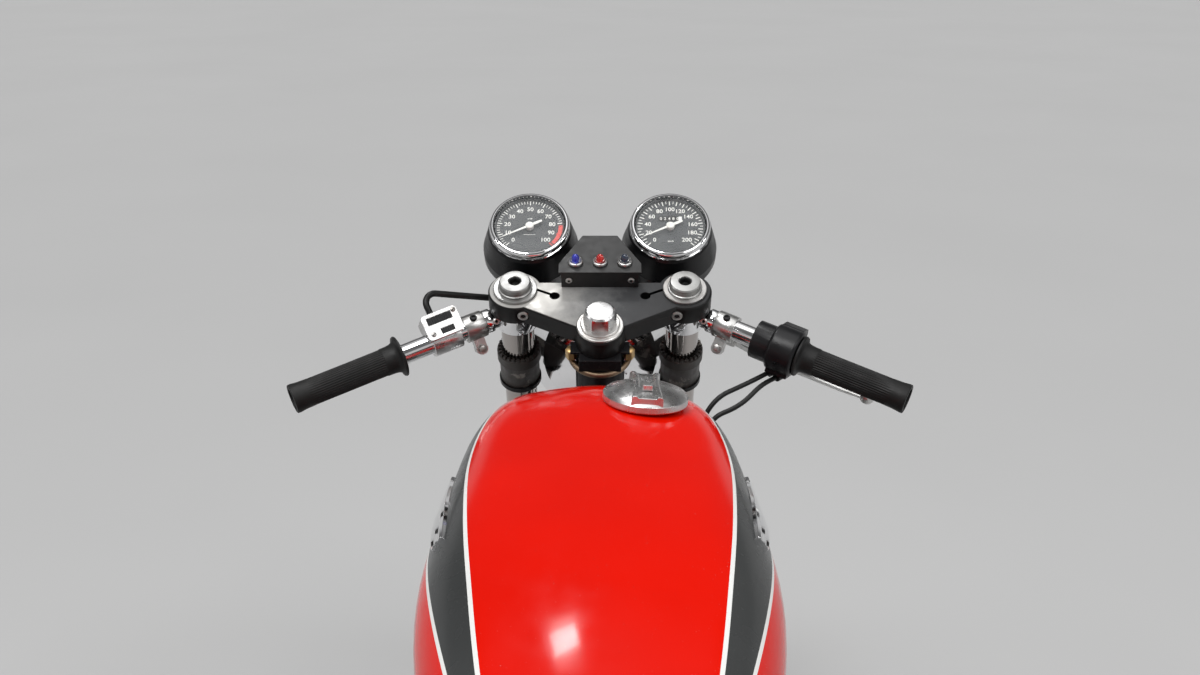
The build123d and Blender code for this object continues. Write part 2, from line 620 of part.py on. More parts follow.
def switch_box():
    """The chrome switch box on the left bar, with a rocker slot above a button slot in its rear face."""
    box = Box(SWITCH_DEPTH, SWITCH_FACE_W, SWITCH_FACE_L)
    box = fillet(box.edges().filter_by(Axis.X), 4.0)
    clamp = Cylinder(BAR_R + 4, SWITCH_FACE_L - 8)
    face_x = -SWITCH_DEPTH / 2
    slots = [
        Pos(face_x, -6, 1) * Box(5, 8.5, 28),
        Pos(face_x, 8, -3) * Box(5, 6.5, 15),
    ]
    body = clamp + SWITCH_MIDDLE * (box - slots) - Cylinder(BAR_R + SEAT_GAP, 90)
    keep("switch_box", SWITCH * body)


def throttle_housing():
    """The two-part throttle drum on the right bar, just inside the grip, with two cable spouts behind and below."""
    drum = Cylinder(THROTTLE_R, THROTTLE_W)
    drum = fillet(drum.edges().group_by(Axis.Z)[-1] + drum.edges().group_by(Axis.Z)[0], 4.0)
    bulge = Pos(12, -12, 0) * Box(26, 26, THROTTLE_W - 6)
    bulge = fillet(bulge.edges().filter_by(Axis.Z), 7.0)
    collar = Pos(0, 0, -THROTTLE_W / 2 - 9) * Cylinder(20.5, 20)
    block = Pos(2, 20, 0) * Box(24, 14, 24)
    body = drum.fuse(bulge, collar, block) - Cylinder(BAR_R + SEAT_GAP, 120)
    body += [spout * Pos(0, 0, -3) * Cylinder(CABLE_R + 2.4, 15, align=MIN_END) for spout in SPOUTS]
    keep("throttle_housing", mirror(THROTTLE * body, about=Plane.XZ))


# Dials
def dials():
    place = STEER * Pos(DIAL_FORWARD, DIAL_HALF, DIAL_HEIGHT) * Rot(0, -DIAL_TILT, 0)
    inner = BEZEL_R - BEZEL_WALL
    cup = [
        (inner - 3, -BEZEL_T), (BEZEL_R, -BEZEL_T), (BEZEL_R + 2, -BEZEL_T - 3), (DIAL_CUP_R, -40), (DIAL_CUP_R, -52),
        (DIAL_CUP_R - 8, -74), (DIAL_CUP_R - 26, -DIAL_CUP_DEPTH + 6), (DIAL_CUP_R - 34, -DIAL_CUP_DEPTH),
        (0, -DIAL_CUP_DEPTH), (0, -DIAL_CUP_DEPTH + 4), (DIAL_CUP_R - 36, -DIAL_CUP_DEPTH + 4),
        (DIAL_CUP_R - 12, -72), (DIAL_CUP_R - 4, -50), (DIAL_CUP_R - 4, -41), (inner - 3, -BEZEL_T - 6)]
    keep("dial_cups", both_sides(place * turned(cup)))
    bezel = [
        (inner, -BEZEL_T + SEAT_GAP), (BEZEL_R, -BEZEL_T + SEAT_GAP), (BEZEL_R, -3), (BEZEL_R - 2, 0),
        (inner + 1, 0), (inner, -1.5)]
    keep("dial_bezels", both_sides(place * turned(bezel)))
    face = Cylinder(inner - SEAT_GAP, 2, align=MIN_END)
    hub = Cylinder(4, 4.5, align=MIN_END)
    keep("dial_faces", both_sides(place * Pos(0, 0, -DIAL_RECESS - 0.5) * (face + hub)))
    glass = Cylinder(inner - SEAT_GAP, DIAL_GLASS_T, align=MIN_END)
    keep("dial_glasses", both_sides(place * Pos(0, 0, -1 - DIAL_GLASS_T) * glass))


def warning_panel():
    top = Polygon(
        (PANEL_REAR, PANEL_REAR_HALF), (PANEL_REAR, -PANEL_REAR_HALF), (PANEL_REAR + 14, -PANEL_REAR_HALF),
        (PANEL_FRONT, -PANEL_FRONT_HALF), (PANEL_FRONT, PANEL_FRONT_HALF), (PANEL_REAR + 14, PANEL_REAR_HALF),
        align=None)
    plate = Pos(0, 0, PANEL_HEIGHT) * extrude(top, PANEL_T)
    lip_h = PANEL_HEIGHT - TOP_YOKE_TOP - SEAT_GAP
    lip = Pos(PANEL_REAR + 3, 0, TOP_YOKE_TOP + SEAT_GAP) * Box(
        6, 2 * PANEL_REAR_HALF - 6, lip_h, align=MIN_END)
    foot_rear = FORK_OFFSET + TOP_YOKE_AHEAD + SEAT_GAP
    foot_l = DIAL_FORWARD - 15 - foot_rear
    foot = Pos(foot_rear + foot_l / 2, 0, TOP_YOKE_BASE + 4) * Box(
        foot_l, 26, PANEL_HEIGHT - TOP_YOKE_BASE - 4, align=MIN_END)
    arm = Pos(DIAL_FORWARD - 8, 0, TOP_YOKE_BASE) * Box(18, 2 * (DIAL_HALF - DIAL_CUP_R) + 6, 10, align=MIN_END)
    panel = plate.fuse(lip, foot, arm)
    for side in (-1, 1):
        around = Pos(DIAL_FORWARD, side * DIAL_HALF, DIAL_HEIGHT) * Rot(0, -DIAL_TILT, 0)
        grown = DIAL_CUP_R + SEAT_GAP
        panel -= around * turned([
            (0, -90), (grown, -90), (grown, -40), (BEZEL_R + 2.6, -11), (BEZEL_R + 2.6, 20), (0, 20)])
    keep("warning_panel", STEER * panel)
    lamps, rings = [], []
    for i in (-1, 0, 1):
        spot = STEER * Pos(PANEL_REAR + 15, i * LAMP_PITCH, PANEL_HEIGHT + PANEL_T + SEAT_GAP)
        ring = Cylinder(LAMP_RING_R, 3.5, align=MIN_END)
        ring = chamfer(ring.edges().group_by(Axis.Z)[-1], 1.2)
        rings.append(spot * ring)
        dome = Cylinder(LAMP_DOME_R, 4, align=MIN_END) + Pos(0, 0, 4) * Sphere(LAMP_DOME_R)
        lamps.append(spot * Pos(0, 0, 3.5 + SEAT_GAP) * (dome & Box(20, 20, 40, align=MIN_END)))
    keep("lamp_rings", *rings)
    keep("lamp_domes", *lamps)


# Mudguards
def guard(place, radius, half_width, first, last):
    """A rolled mudguard: a thin crowned strip turned about the axle, from one angle to another."""
    outer = ThreePointArc((radius - 20, -half_width), (radius + 6, 0), (radius - 20, half_width))
    inner = ThreePointArc(
        (radius - 20, half_width - GUARD_T), (radius + 6 - GUARD_T, 0), (radius - 20, -half_width + GUARD_T))
    edges = [
        outer, Line((radius - 20, half_width), (radius - 20, half_width - GUARD_T)), inner,
        Line((radius - 20, -half_width + GUARD_T), (radius - 20, -half_width))]
    strip = revolve(Plane.XZ * make_face(edges), Axis.Z, revolution_arc=last - first)
    return place * Rot(0, 0, first) * strip


def mudguards():
    front = guard(FRONT_WHEEL, FRONT_GUARD_R, FRONT_GUARD_HALF, 62, 158)
    stays = []
    for angle in (66, 150):
        hoop_r = FRONT_GUARD_R - 14
        top = Vector(hoop_r * math.cos(math.radians(angle)), 0, hoop_r * math.sin(math.radians(angle)))
        for side in (-1, 1):
            y = side * (FRONT_GUARD_HALF + 1.5)
            foot = head_point(FORK_OFFSET + (2 if angle < 90 else -2), side * (FORK_HALF - SLIDER_R - 3.2), 70)
            stays.append(rod(FRONT_AXLE + top + Vector(0, y, 0), foot, 3.0))
    bridge_up = FRONT_GUARD_R - 18
    for side in (-1, 1):
        inner = head_point(FORK_OFFSET, side * (FRONT_GUARD_HALF - 5), bridge_up)
        outer = head_point(FORK_OFFSET, side * (FORK_HALF - SLIDER_R - 2 - SEAT_GAP), bridge_up)
        stays.append(rod(inner, outer, 6.0))
    keep("front_mudguard", front.fuse(*stays))
    rear = guard(REAR_WHEEL, REAR_GUARD_R, REAR_GUARD_HALF, 28, 152)
    lamp_back = REAR_AXLE.X - TAIL_OVERHANG + 52 + SEAT_GAP
    arm = Pos(lamp_back, 0, TAIL_LAMP_Z) * Box(96, 56, 40, align=(Align.MIN, Align.CENTER, Align.CENTER))
    tread = REAR_WHEEL * Cylinder(REAR_GUARD_R + 2, 400)
    post = Pos(GUARD_POST_X, 0, SEAT_RAIL_Z) * Box(26, 44, 90, align=(Align.CENTER, Align.CENTER, Align.MAX))
    post -= rod((GUARD_POST_X, -200, SEAT_RAIL_Z), (GUARD_POST_X, 200, SEAT_RAIL_Z), RAIL_TUBE_R + SEAT_GAP)
    keep("rear_mudguard", rear.fuse((arm - tread), (post - tread)))


# Frame
def frame():
    head = STEER * Pos(0, 0, HEADSTOCK_BASE) * Cylinder(HEADSTOCK_R, HEADSTOCK_TOP - HEADSTOCK_BASE, align=MIN_END)
    spine_start = head_point(0, 0, DOWN_TUBE_AT + 12)
    down_start = head_point(0, 0, DOWN_TUBE_AT)
    pieces = [tube(
        [(spine_start.X, 0, spine_start.Z), (SPINE_KNEE[0], 0, SPINE_KNEE[1]), (CRADLE_REAR, 0, SEAT_RAIL_Z + 2)],
        SPINE_R, SPINE_BEND)]
    rail_end = SHOCK_TOP[0] - 150
    for side in (-1, 1):
        half = side * CRADLE_HALF
        pieces.append(tube([
            (down_start.X, side * 14, down_start.Z), (CRADLE_FRONT, half, CRADLE_FLOOR + 30),
            (CRADLE_FRONT - 60, half, CRADLE_FLOOR), (CRADLE_REAR + 30, half, CRADLE_FLOOR),
            (CRADLE_REAR, half, CRADLE_FLOOR + 60), (CRADLE_REAR, half, SEAT_RAIL_Z - 50),
            (CRADLE_REAR - 50, half, SEAT_RAIL_Z), (rail_end, half, SEAT_RAIL_Z)],
            FRAME_TUBE_R, [40, 34, 34, 34, 40, 40]))
        pieces.append(tube([
            (down_start.X, side * 16, down_start.Z), (180, side * 82, 662), (CRADLE_REAR, half, 640)],
            RAIL_TUBE_R, 120))
        pieces.append(rod((SHOCK_TOP[0] + 10, half, SEAT_RAIL_Z - 4), (CRADLE_REAR, half, PIVOT_Z + 90), RAIL_TUBE_R))
        pieces.append(side_plate([
            (CRADLE_REAR + 6, PIVOT_Z - 74), (PIVOT_X - 30, PIVOT_Z - 26), (PIVOT_X - 30, PIVOT_Z + 26),
            (CRADLE_REAR + 6, PIVOT_Z + 84)], half, 10))
        pieces.append(side_plate([
            (STAND_PIVOT_X - 24, CRADLE_FLOOR), (STAND_PIVOT_X + 24, CRADLE_FLOOR),
            (STAND_PIVOT_X + 16, STAND_PIVOT_Z - 18), (STAND_PIVOT_X - 16, STAND_PIVOT_Z - 18)], half, 8))
        pieces.append(rod(
            (SHOCK_TOP[0], half, SHOCK_TOP[1]), (SHOCK_TOP[0], side * (SHOCK_HALF + 14), SHOCK_TOP[1]), 8))
    for x in (206.0, -110.0):
        pieces.append(Pos(x, 0, TUNNEL_TOP - 2.6) * Box(36, 24, 62, align=(Align.CENTER, Align.CENTER, Align.MAX)))
    cross_members = [
        # x, z, radius
        (CRADLE_REAR, SEAT_RAIL_Z - 46, RAIL_TUBE_R), (GUARD_POST_X, SEAT_RAIL_Z, RAIL_TUBE_R),
        (rail_end + 4, SEAT_RAIL_Z + 4, 9.0),
        (CRADLE_REAR + 40, CRADLE_FLOOR, RAIL_TUBE_R), (CRADLE_FRONT - 66, CRADLE_FLOOR, RAIL_TUBE_R)]
    for x, z, radius in cross_members:
        pieces.append(rod((x, -CRADLE_HALF, z), (x, CRADLE_HALF, z), radius))
    whole = head.fuse(*pieces)
    whole -= STEER * Cylinder(HEADSTOCK_BORE_R, 2 * HEADSTOCK_TOP)
    whole -= rod((PIVOT_X, -200, PIVOT_Z), (PIVOT_X, 200, PIVOT_Z), PIVOT_R + SEAT_GAP)
    whole -= rod((STAND_PIVOT_X, -200, STAND_PIVOT_Z), (STAND_PIVOT_X, 200, STAND_PIVOT_Z), STAND_TUBE_R + SEAT_GAP)
    keep("frame", whole)


def swingarm():
    legs = []
    inner = CRADLE_HALF - 5 - SEAT_GAP
    for side in (-1, 1):
        y = side * SWINGARM_HALF
        near = side * 70
        legs.append(tube([
            (PIVOT_X, near, PIVOT_Z), (PIVOT_X - 44, near, PIVOT_Z - 2), (PIVOT_X - 112, y, PIVOT_Z - 8),
            (REAR_AXLE.X + 30, y, REAR_AXLE.Z)], SWINGARM_TUBE_R, 40))
        legs.append(side_plate([
            (REAR_AXLE.X - 46, REAR_AXLE.Z - 13), (REAR_AXLE.X + 50, REAR_AXLE.Z - 15),
            (REAR_AXLE.X + 50, REAR_AXLE.Z + 16), (REAR_AXLE.X - 46, REAR_AXLE.Z + 13)], y, 12))
        legs.append(side_plate([
            (SHOCK_FOOT[0] - 18, REAR_AXLE.Z), (SHOCK_FOOT[0] + 30, REAR_AXLE.Z),
            (SHOCK_FOOT[0] + 12, SHOCK_FOOT[1] + 10), (SHOCK_FOOT[0] - 10, SHOCK_FOOT[1] + 10)], y, 8))
        legs.append(rod(
            (SHOCK_FOOT[0], y, SHOCK_FOOT[1]), (SHOCK_FOOT[0], side * (SHOCK_HALF + 14), SHOCK_FOOT[1]), 7))
    barrel = rod((PIVOT_X, -inner, PIVOT_Z), (PIVOT_X, inner, PIVOT_Z), 19)
    arm = barrel.fuse(*legs)
    arm -= rod((PIVOT_X, -200, PIVOT_Z), (PIVOT_X, 200, PIVOT_Z), PIVOT_R + SEAT_GAP)
    arm -= rod(REAR_AXLE - Vector(0, 200, 0), REAR_AXLE + Vector(0, 200, 0), AXLE_R + SEAT_GAP)
    keep("swingarm", arm)
    reach = CRADLE_HALF + 46
    keep("pivot_bolt", rod((PIVOT_X, -reach, PIVOT_Z), (PIVOT_X, reach, PIVOT_Z), PIVOT_R))
    reach = SWINGARM_HALF + 18
    axle = rod(REAR_AXLE - Vector(0, reach, 0), REAR_AXLE + Vector(0, reach, 0), AXLE_R)
    nuts = [REAR_WHEEL * Pos(0, 0, side * (SWINGARM_HALF + 6 + 6 + SEAT_GAP)) * extrude(
        RegularPolygon(14, 6), 6, both=True) for side in (-1, 1)]
    keep("rear_axle", axle.fuse(*nuts))


def shocks():
    foot, top = Vector(SHOCK_FOOT[0], 0, SHOCK_FOOT[1]), Vector(SHOCK_TOP[0], 0, SHOCK_TOP[1])
    length = (top - foot).length
    base = 70.0
    crown = base + COIL_COUNT * COIL_PITCH
    outline = [(0, 14), (10, 14), (14, 40), (20, 46), (20, base - 10), (27, base - 8), (27, base)]
    for i in range(COIL_COUNT):
        z = base + i * COIL_PITCH
        outline += [(SPRING_R - 5, z + 2), (SPRING_R, z + 5), (SPRING_R, z + 10), (SPRING_R - 5, z + 13)]
    outline += [(27, crown + 1), (27, crown + 8), (19, crown + 10), (17, length - 16), (10, length - 12)]
    outline.append((0, length - 12))
    unit = turned(outline)
    for at in (0, length):
        unit += Pos(0, 0, at) * Rot(90, 0, 0) * Cylinder(15, 24)
        unit += Pos(0, 0, at + (12 if at == 0 else -12)) * Box(18, 18, 20)
    for at, pin in ((0, 7), (length, 8)):
        unit -= Pos(0, 0, at) * Rot(90, 0, 0) * Cylinder(pin + SEAT_GAP, 60)
    place = aim((foot.X, SHOCK_HALF, foot.Z), top - foot)
    keep("shock_absorbers", both_sides(place * unit))


# Engine
def cylinder_place(lean):
    """The crank's centre, with Z up the cylinder and X towards the front."""
    tilt = math.radians(lean)
    return aim((CRANK_X, 0, CRANK_Z), (math.sin(tilt), 0, math.cos(tilt)))


def carburettor_place(side, lean):
    """A carburettor's mounting face, with Z along its bore, away from the cylinder it feeds."""
    inward = -1 if lean > 0 else 1
    place = cylinder_place(lean) * Pos(inward * (FIN_LENGTH / 2 + 5.5 + SEAT_GAP), side * CARB_HALF, CARB_UP)
    return place * Rot(0, inward * 90, 0)


def carburettor_top(side, lean, reach):
    """A point above the middle of a carburettor's slide chamber, at a distance from its middle."""
    up = 1 if lean > 0 else -1
    return (carburettor_place(side, lean) * Pos(up * reach, 0, CARB_CHAMBER_AT)).position


def finned(length, width, base, count, pitch, core_r, top):
    """A round core with a stack of rounded plates."""
    stack = Pos(0, 0, base) * Cylinder(core_r, top - base, align=MIN_END)
    fin = extrude(RectangleRounded(length, width, 22), FIN_T)
    return stack.fuse(*[Pos(0, 0, base + (i + 0.5) * pitch) * fin for i in range(count)])


def engine():
    outline = [
        (240, 262), (246, 330), (222, 392), (150, 452), (96, 470), (20, 452), (-60, 440), (-140, 424), (-160, 380),
        (-150, 300), (-96, 238), (40, 222), (190, 226)]
    case = side_plate(outline, 0, 2 * CASE_HALF)
    case = fillet(case.edges().filter_by(Axis.Y), 14)
    for lean in (FRONT_LEAN, REAR_LEAN):
        place = cylinder_place(lean)
        case += place * Cylinder(52, DECK - SEAT_GAP, align=MIN_END)
        case -= place * Pos(0, 0, DECK - SEAT_GAP) * Box(150, 300, 200, align=MIN_END)
    ribs = [
        Pos(150 - i * 40, 0, 228) * Box(8, 2 * CASE_HALF - 30, 24) for i in range(6)]
    keep("crankcase", case.fuse(*ribs))

    for name, lean in (("front_cylinder", FRONT_LEAN), ("rear_cylinder", REAR_LEAN)):
        place = cylinder_place(lean)
        pitch = BARREL_H / FIN_COUNT
        barrel = finned(FIN_LENGTH, FIN_WIDTH, DECK, FIN_COUNT, pitch, BARREL_R + 8, DECK + BARREL_H)
        head_base = DECK + BARREL_H
        head_pitch = 11.5
        head = finned(
            FIN_LENGTH + 8, FIN_WIDTH + 4, head_base, HEAD_FINS, head_pitch, BARREL_R + 12, head_base + HEAD_H)
        block = Pos(0, 0, head_base) * Box(88, 74, HEAD_H - 6, align=MIN_END)
        cap = Pos(0, 0, head_base + HEAD_H - 14) * extrude(RectangleRounded(96, 88, 18), HEAD_CAP_H)
        cap = chamfer(cap.edges().group_by(Axis.Z)[-1], 6.0)
        port_h = 72 - SEAT_GAP - 40
        towards = 1 if lean > 0 else -1
        port = Pos(towards * 40, 0, head_base + 26) * Rot(0, towards * 90, 0) * Cylinder(25, port_h + 1, align=MIN_END)
        intake = Pos(-towards * 40, towards * CARB_HALF, CARB_UP) * Rot(0, -towards * 90, 0) * Cylinder(
            20, FIN_LENGTH / 2 + 5.5 - 40, align=MIN_END)
        keep(name, place * barrel.fuse(head, block, cap, port, intake))

    covers = []
    left_wall = CASE_HALF + SEAT_GAP
    alternator = turned([(0, 0), (74, 0), (74, 18), (66, 30), (40, 34), (0, 34)])
    covers.append(Pos(CRANK_X - 4, left_wall, CRANK_Z) * Rot(-90, 0, 0) * alternator)
    primary = side_plate(
        [(186, 268), (196, 346), (164, 398), (80, 406), (-20, 404), (-92, 390), (-112, 330), (-80, 262), (60, 240)],
        -(left_wall + 14), 28)
    primary = fillet(primary.edges().filter_by(Axis.Y), 22)
    clutch = Pos(-20, -(left_wall + 28), 342) * Rot(90, 0, 0) * turned([(0, 0), (60, 0), (60, 12), (50, 20), (0, 22)])
    timing = Pos(CRANK_X, -(left_wall + 28), CRANK_Z) * Rot(90, 0, 0) * turned(
        [(0, 0), (44, 0), (44, 8), (38, 13), (0, 14)])
    covers.append(primary.fuse(clutch, timing))
    guard_y = CHAIN_LINE + CHAIN_W / 2 + RUNNING_GAP
    sprocket_cover = side_plate(
        [(GEARBOX_OUT.X - 56, GEARBOX_OUT.Z - 30), (GEARBOX_OUT.X - 40, GEARBOX_OUT.Z + 46),
         (GEARBOX_OUT.X + 46, GEARBOX_OUT.Z + 50), (GEARBOX_OUT.X + 104, GEARBOX_OUT.Z + 20),
         (GEARBOX_OUT.X + 104, GEARBOX_OUT.Z - 50), (GEARBOX_OUT.X + 20, GEARBOX_OUT.Z - 66)], guard_y + 5, 10)
    sprocket_cover = fillet(sprocket_cover.edges().filter_by(Axis.Y), 16)
    sprocket_cover -= Pos(CRANK_X - 4, 0, CRANK_Z) * Rot(90, 0, 0) * Cylinder(74 + SEAT_GAP, 400)
    for z in (GEARBOX_OUT.Z - 34, GEARBOX_OUT.Z + 14):
        sprocket_cover += rod((GEARBOX_OUT.X + 88, left_wall, z), (GEARBOX_OUT.X + 88, guard_y + 2, z), 8)
    covers.append(sprocket_cover)
    keep("engine_covers", *covers)

    carbs = []
    for side, lean in ((1, FRONT_LEAN), (-1, REAR_LEAN)):
        outline = [
            (0, 0), (18, 0), (18, 18), (CARB_R, 20), (CARB_R, 66), (18, 68), (18, 74), (23, 88), (25, 98), (22, 98),
            (16, 78), (0, 78)]
        chamber = Pos(0, 0, CARB_CHAMBER_AT) * Rot(0, 90, 0) * Cylinder(17, CARB_CHAMBER_H)
        carbs.append(carburettor_place(side, lean) * (turned(outline) + chamber))
    keep("carburettors", *carbs)


# Exhausts
def silencer(start, end):
    """A straight-through megaphone with a rolled tail and a slightly sunk outlet."""
    length = (Vector(*end) - Vector(*start)).length
    outline = [
        (0, 0), (HEADER_R + 2, 0), (HEADER_R + 3, 16), (SILENCER_R - 6, 150), (SILENCER_R, 190),
        (SILENCER_R, length - 60), (SILENCER_R - 12, length - 8), (SILENCER_R - 14, length),
        (SILENCER_R - 20, length), (SILENCER_R - 20, length - 30), (0, length - 30)]
    return aim(start, Vector(*end) - Vector(*start)) * turned(outline)


def exhausts():
    def port(lean, towards):
        place = cylinder_place(lean)
        centre = place * Pos(towards * (FIN_LENGTH / 2 + 12), 0, DECK + BARREL_H + 26)
        out = place * Pos(towards * (FIN_LENGTH / 2 + 46), 0, DECK + BARREL_H + 26)
        return centre.position, out.position

    tail = (-870.0, 318.0)
    start, out = port(FRONT_LEAN, 1)
    join_x = -250.0
    right = -SILENCER_HALF
    header = tube(
        [(start.X, 0, start.Z), (out.X, 0, out.Z), (286, -44, 330), (262, -132, 256), (120, right + 22, 240),
         (join_x - 8, right, SILENCER_Z)], HEADER_R, [34, 60, 60, 60])
    can = silencer((join_x, right, SILENCER_Z), (tail[0], right - 6, tail[1]))
    keep("front_exhaust", header + can)
    start, out = port(REAR_LEAN, -1)
    left = SILENCER_HALF
    header = tube(
        [(start.X, 0, start.Z), (out.X, 0, out.Z), (-136, 142, 452), (-136, 160, 300), (-186, left, SILENCER_Z - 4),
         (join_x - 8, left, SILENCER_Z)], HEADER_R, [34, 50, 50, 34])
    can = silencer((join_x, left, SILENCER_Z), (tail[0], left + 6, tail[1]))
    keep("rear_exhaust", header + can)


# Tank and seat
TANK_SECTIONS = [
    # x, half width, height of the widest line, crown height, base height, half width of the base
    (290.0, 89.0, 812.0, 857.0, 748.0, 64.0),
    (232.0, 119.0, 810.0, 882.0, 712.0, 88.0),
    (106.0, 140.0, 808.0, 888.0, 694.0, 108.0),
    (-69.0, 146.0, 801.0, 874.0, 704.0, 114.0),
    (-200.0, 121.0, 790.0, 850.0, 722.0, 104.0),
    (-306.0, 90.0, 780.0, 821.0, 730.0, 80.0),
]


def rounded_ring(x, corners, shares):
    """A closed wire across the model at x: (y, z) corners, each rounded by a share of its shorter side."""
    points = [Vector(x, y, z) for y, z in corners]
    count = len(points)
    arcs = []
    for i, corner in enumerate(points):
        before, after = points[i - 1] - corner, points[(i + 1) % count] - corner
        cut = shares[i] * min(before.length, after.length)
        before, after = before.normalized(), after.normalized()
        half_angle = math.acos(max(-1.0, min(1.0, before.dot(after)))) / 2
        inward = (before + after).normalized()
        middle = corner + inward * (cut / math.cos(half_angle) - cut * math.tan(half_angle))
        arcs.append((corner + before * cut, middle, corner + after * cut))
    edges = []
    for i, (start, middle, end) in enumerate(arcs):
        edges.append(ThreePointArc(start, middle, end))
        edges.append(Line(end, arcs[(i + 1) % count][0]))
    return Wire(edges)


def tank_section(x, half, wide_z, top_z, base_z, base_half):
    """One closed section of the tank: flat base, leaning lower side, full upper side, shoulder and crown."""
    shoulder_half = half * 0.80
    shoulder_z = top_z - (top_z - wide_z) * 0.22
    corners = [
        (-base_half, base_z), (base_half, base_z), (half, wide_z), (shoulder_half, shoulder_z), (0, top_z),
        (-shoulder_half, shoulder_z), (-half, wide_z)]
    return rounded_ring(x, corners, [0.2, 0.2, 0.45, 0.45, 0.45, 0.45, 0.45])


def tank():
    """The lofted tank, with rounded ends, a tunnel over the frame's spine and a filler neck."""
    body = Solid.make_loft([tank_section(*row) for row in TANK_SECTIONS])
    body = fillet(body.faces().sort_by(Axis.X)[-1].edges(), 26)
    body = fillet(body.faces().sort_by(Axis.X)[0].edges(), 10)
    tunnel_l = TANK_SECTIONS[0][0] - 2 * TANK_SECTIONS[-1][0]
    tunnel = Pos(0, 0, TUNNEL_TOP - TUNNEL_HALF) * Rot(0, 90, 0) * Cylinder(TUNNEL_HALF, tunnel_l)
    slot = Pos(0, 0, TUNNEL_TOP - TUNNEL_HALF) * Box(
        tunnel_l, 2 * TUNNEL_HALF, TUNNEL_TOP / 3, align=(Align.CENTER, Align.CENTER, Align.MAX))
    seat_on = Pos(CAP_X, CAP_Y, FILLER_BASE) * Rot(4, 2, 0)
    neck = seat_on * Cylinder(FILLER_R - 7, 40, align=(Align.CENTER, Align.CENTER, Align.MAX))
    neck = Pos(0, 0, -SEAT_GAP) * neck
    keep("fuel_tank", (body - (tunnel + slot)) + neck)

    cap = Cylinder(FILLER_R, FILLER_H, align=MIN_END)
    cap = chamfer(cap.edges().group_by(Axis.Z)[-1], 4.0)
    grip = Box(2 * FILLER_R - 6, 20, 9, align=MIN_END)
    grip = fillet(grip.edges().group_by(Axis.Z)[-1], 4.0)
    keep("filler_cap", seat_on * (cap + Pos(0, 0, FILLER_H - 1) * grip))


def seat():
    pan = 14.0
    pad_base = SEAT_BASE_Z + pan + SEAT_GAP
    pad = side_plate([
        (SEAT_FRONT, pad_base), (SEAT_FRONT - 4, SEAT_TOP - 8), (SEAT_FRONT - 60, SEAT_TOP),
        (SEAT_BREAK + 60, SEAT_TOP - 6), (SEAT_BREAK + SEAT_GAP, SEAT_TOP + 18), (SEAT_BREAK + SEAT_GAP, pad_base)],
        0, 2 * SEAT_HALF)
    keep("seat_pad", fillet(pad.edges().filter_by(Axis.Y).group_by(Axis.Z)[-1], 10))
    hump = side_plate([
        (SEAT_BREAK, SEAT_BASE_Z), (SEAT_BREAK, SEAT_TOP + 30), (SEAT_BREAK - 30, HUMP_TOP - 8),
        (SEAT_BREAK - 80, HUMP_TOP), (HUMP_END + 60, HUMP_TOP - 50), (HUMP_END, SEAT_BASE_Z + 60),
        (HUMP_END + 10, SEAT_BASE_Z)], 0, 2 * SEAT_HALF)
    plan = make_face(Polyline(
        (SEAT_BREAK, SEAT_HALF), (HUMP_END + 70, SEAT_HALF - 16), (HUMP_END, SEAT_HALF - 50),
        (HUMP_END, 50 - SEAT_HALF), (HUMP_END + 70, 16 - SEAT_HALF), (SEAT_BREAK, -SEAT_HALF), close=True))
    hump &= extrude(plan, 2 * HUMP_TOP)
    tray = Pos(SEAT_BREAK, 0, SEAT_BASE_Z) * Box(
        SEAT_FRONT - SEAT_BREAK, 2 * SEAT_HALF, pan, align=(Align.MIN, Align.CENTER, Align.MIN))
    keep("seat_tail", hump + tray)


def side_covers():
    outline = [(-130, 520), (-120, 630), (-160, 668), (-400, 668), (-430, 650), (-340, 540), (-260, 500)]
    cover = side_plate(outline, CRADLE_HALF + FRAME_TUBE_R + 9 + SEAT_GAP, 18)
    cover = fillet(cover.edges().filter_by(Axis.Y), 14)
    keep("side_covers", both_sides(cover))


def tail_lamp():
    end = REAR_AXLE.X - TAIL_OVERHANG
    lamp = Pos(end + 26, 0, TAIL_LAMP_Z) * Box(52, 84, 70)
    keep("tail_lamp", fillet(lamp.edges().filter_by(Axis.X), 16))


# Controls at the feet
def footrests():
    y = CRADLE_HALF + 30
    plate = side_plate([
        (PIVOT_X - 26, PIVOT_Z - 30), (PIVOT_X + 70, PIVOT_Z - 30), (PIVOT_X + 60, PIVOT_Z + 22),
        (PIVOT_X - 20, PIVOT_Z + 26)], y, 7)
    spacer = rod((PIVOT_X, CRADLE_HALF + 5 + SEAT_GAP, PIVOT_Z), (PIVOT_X, y, PIVOT_Z), 17)
    peg = rod((PIVOT_X + 34, y, PIVOT_Z - 12), (PIVOT_X + 28, y + 112, PIVOT_Z - 12), 11)
    pedal = tube([
        (PIVOT_X + 54, y, PIVOT_Z + 4), (PIVOT_X + 54, y + 58, PIVOT_Z + 4), (PIVOT_X + 186, y + 60, PIVOT_Z - 30),
        (PIVOT_X + 190, y + 108, PIVOT_Z - 30)], 6, 8)
    rest = plate.fuse(spacer, peg, pedal)
    rest -= rod((PIVOT_X, 0, PIVOT_Z), (PIVOT_X, 300, PIVOT_Z), PIVOT_R + SEAT_GAP)
    keep("footrests", both_sides(rest))


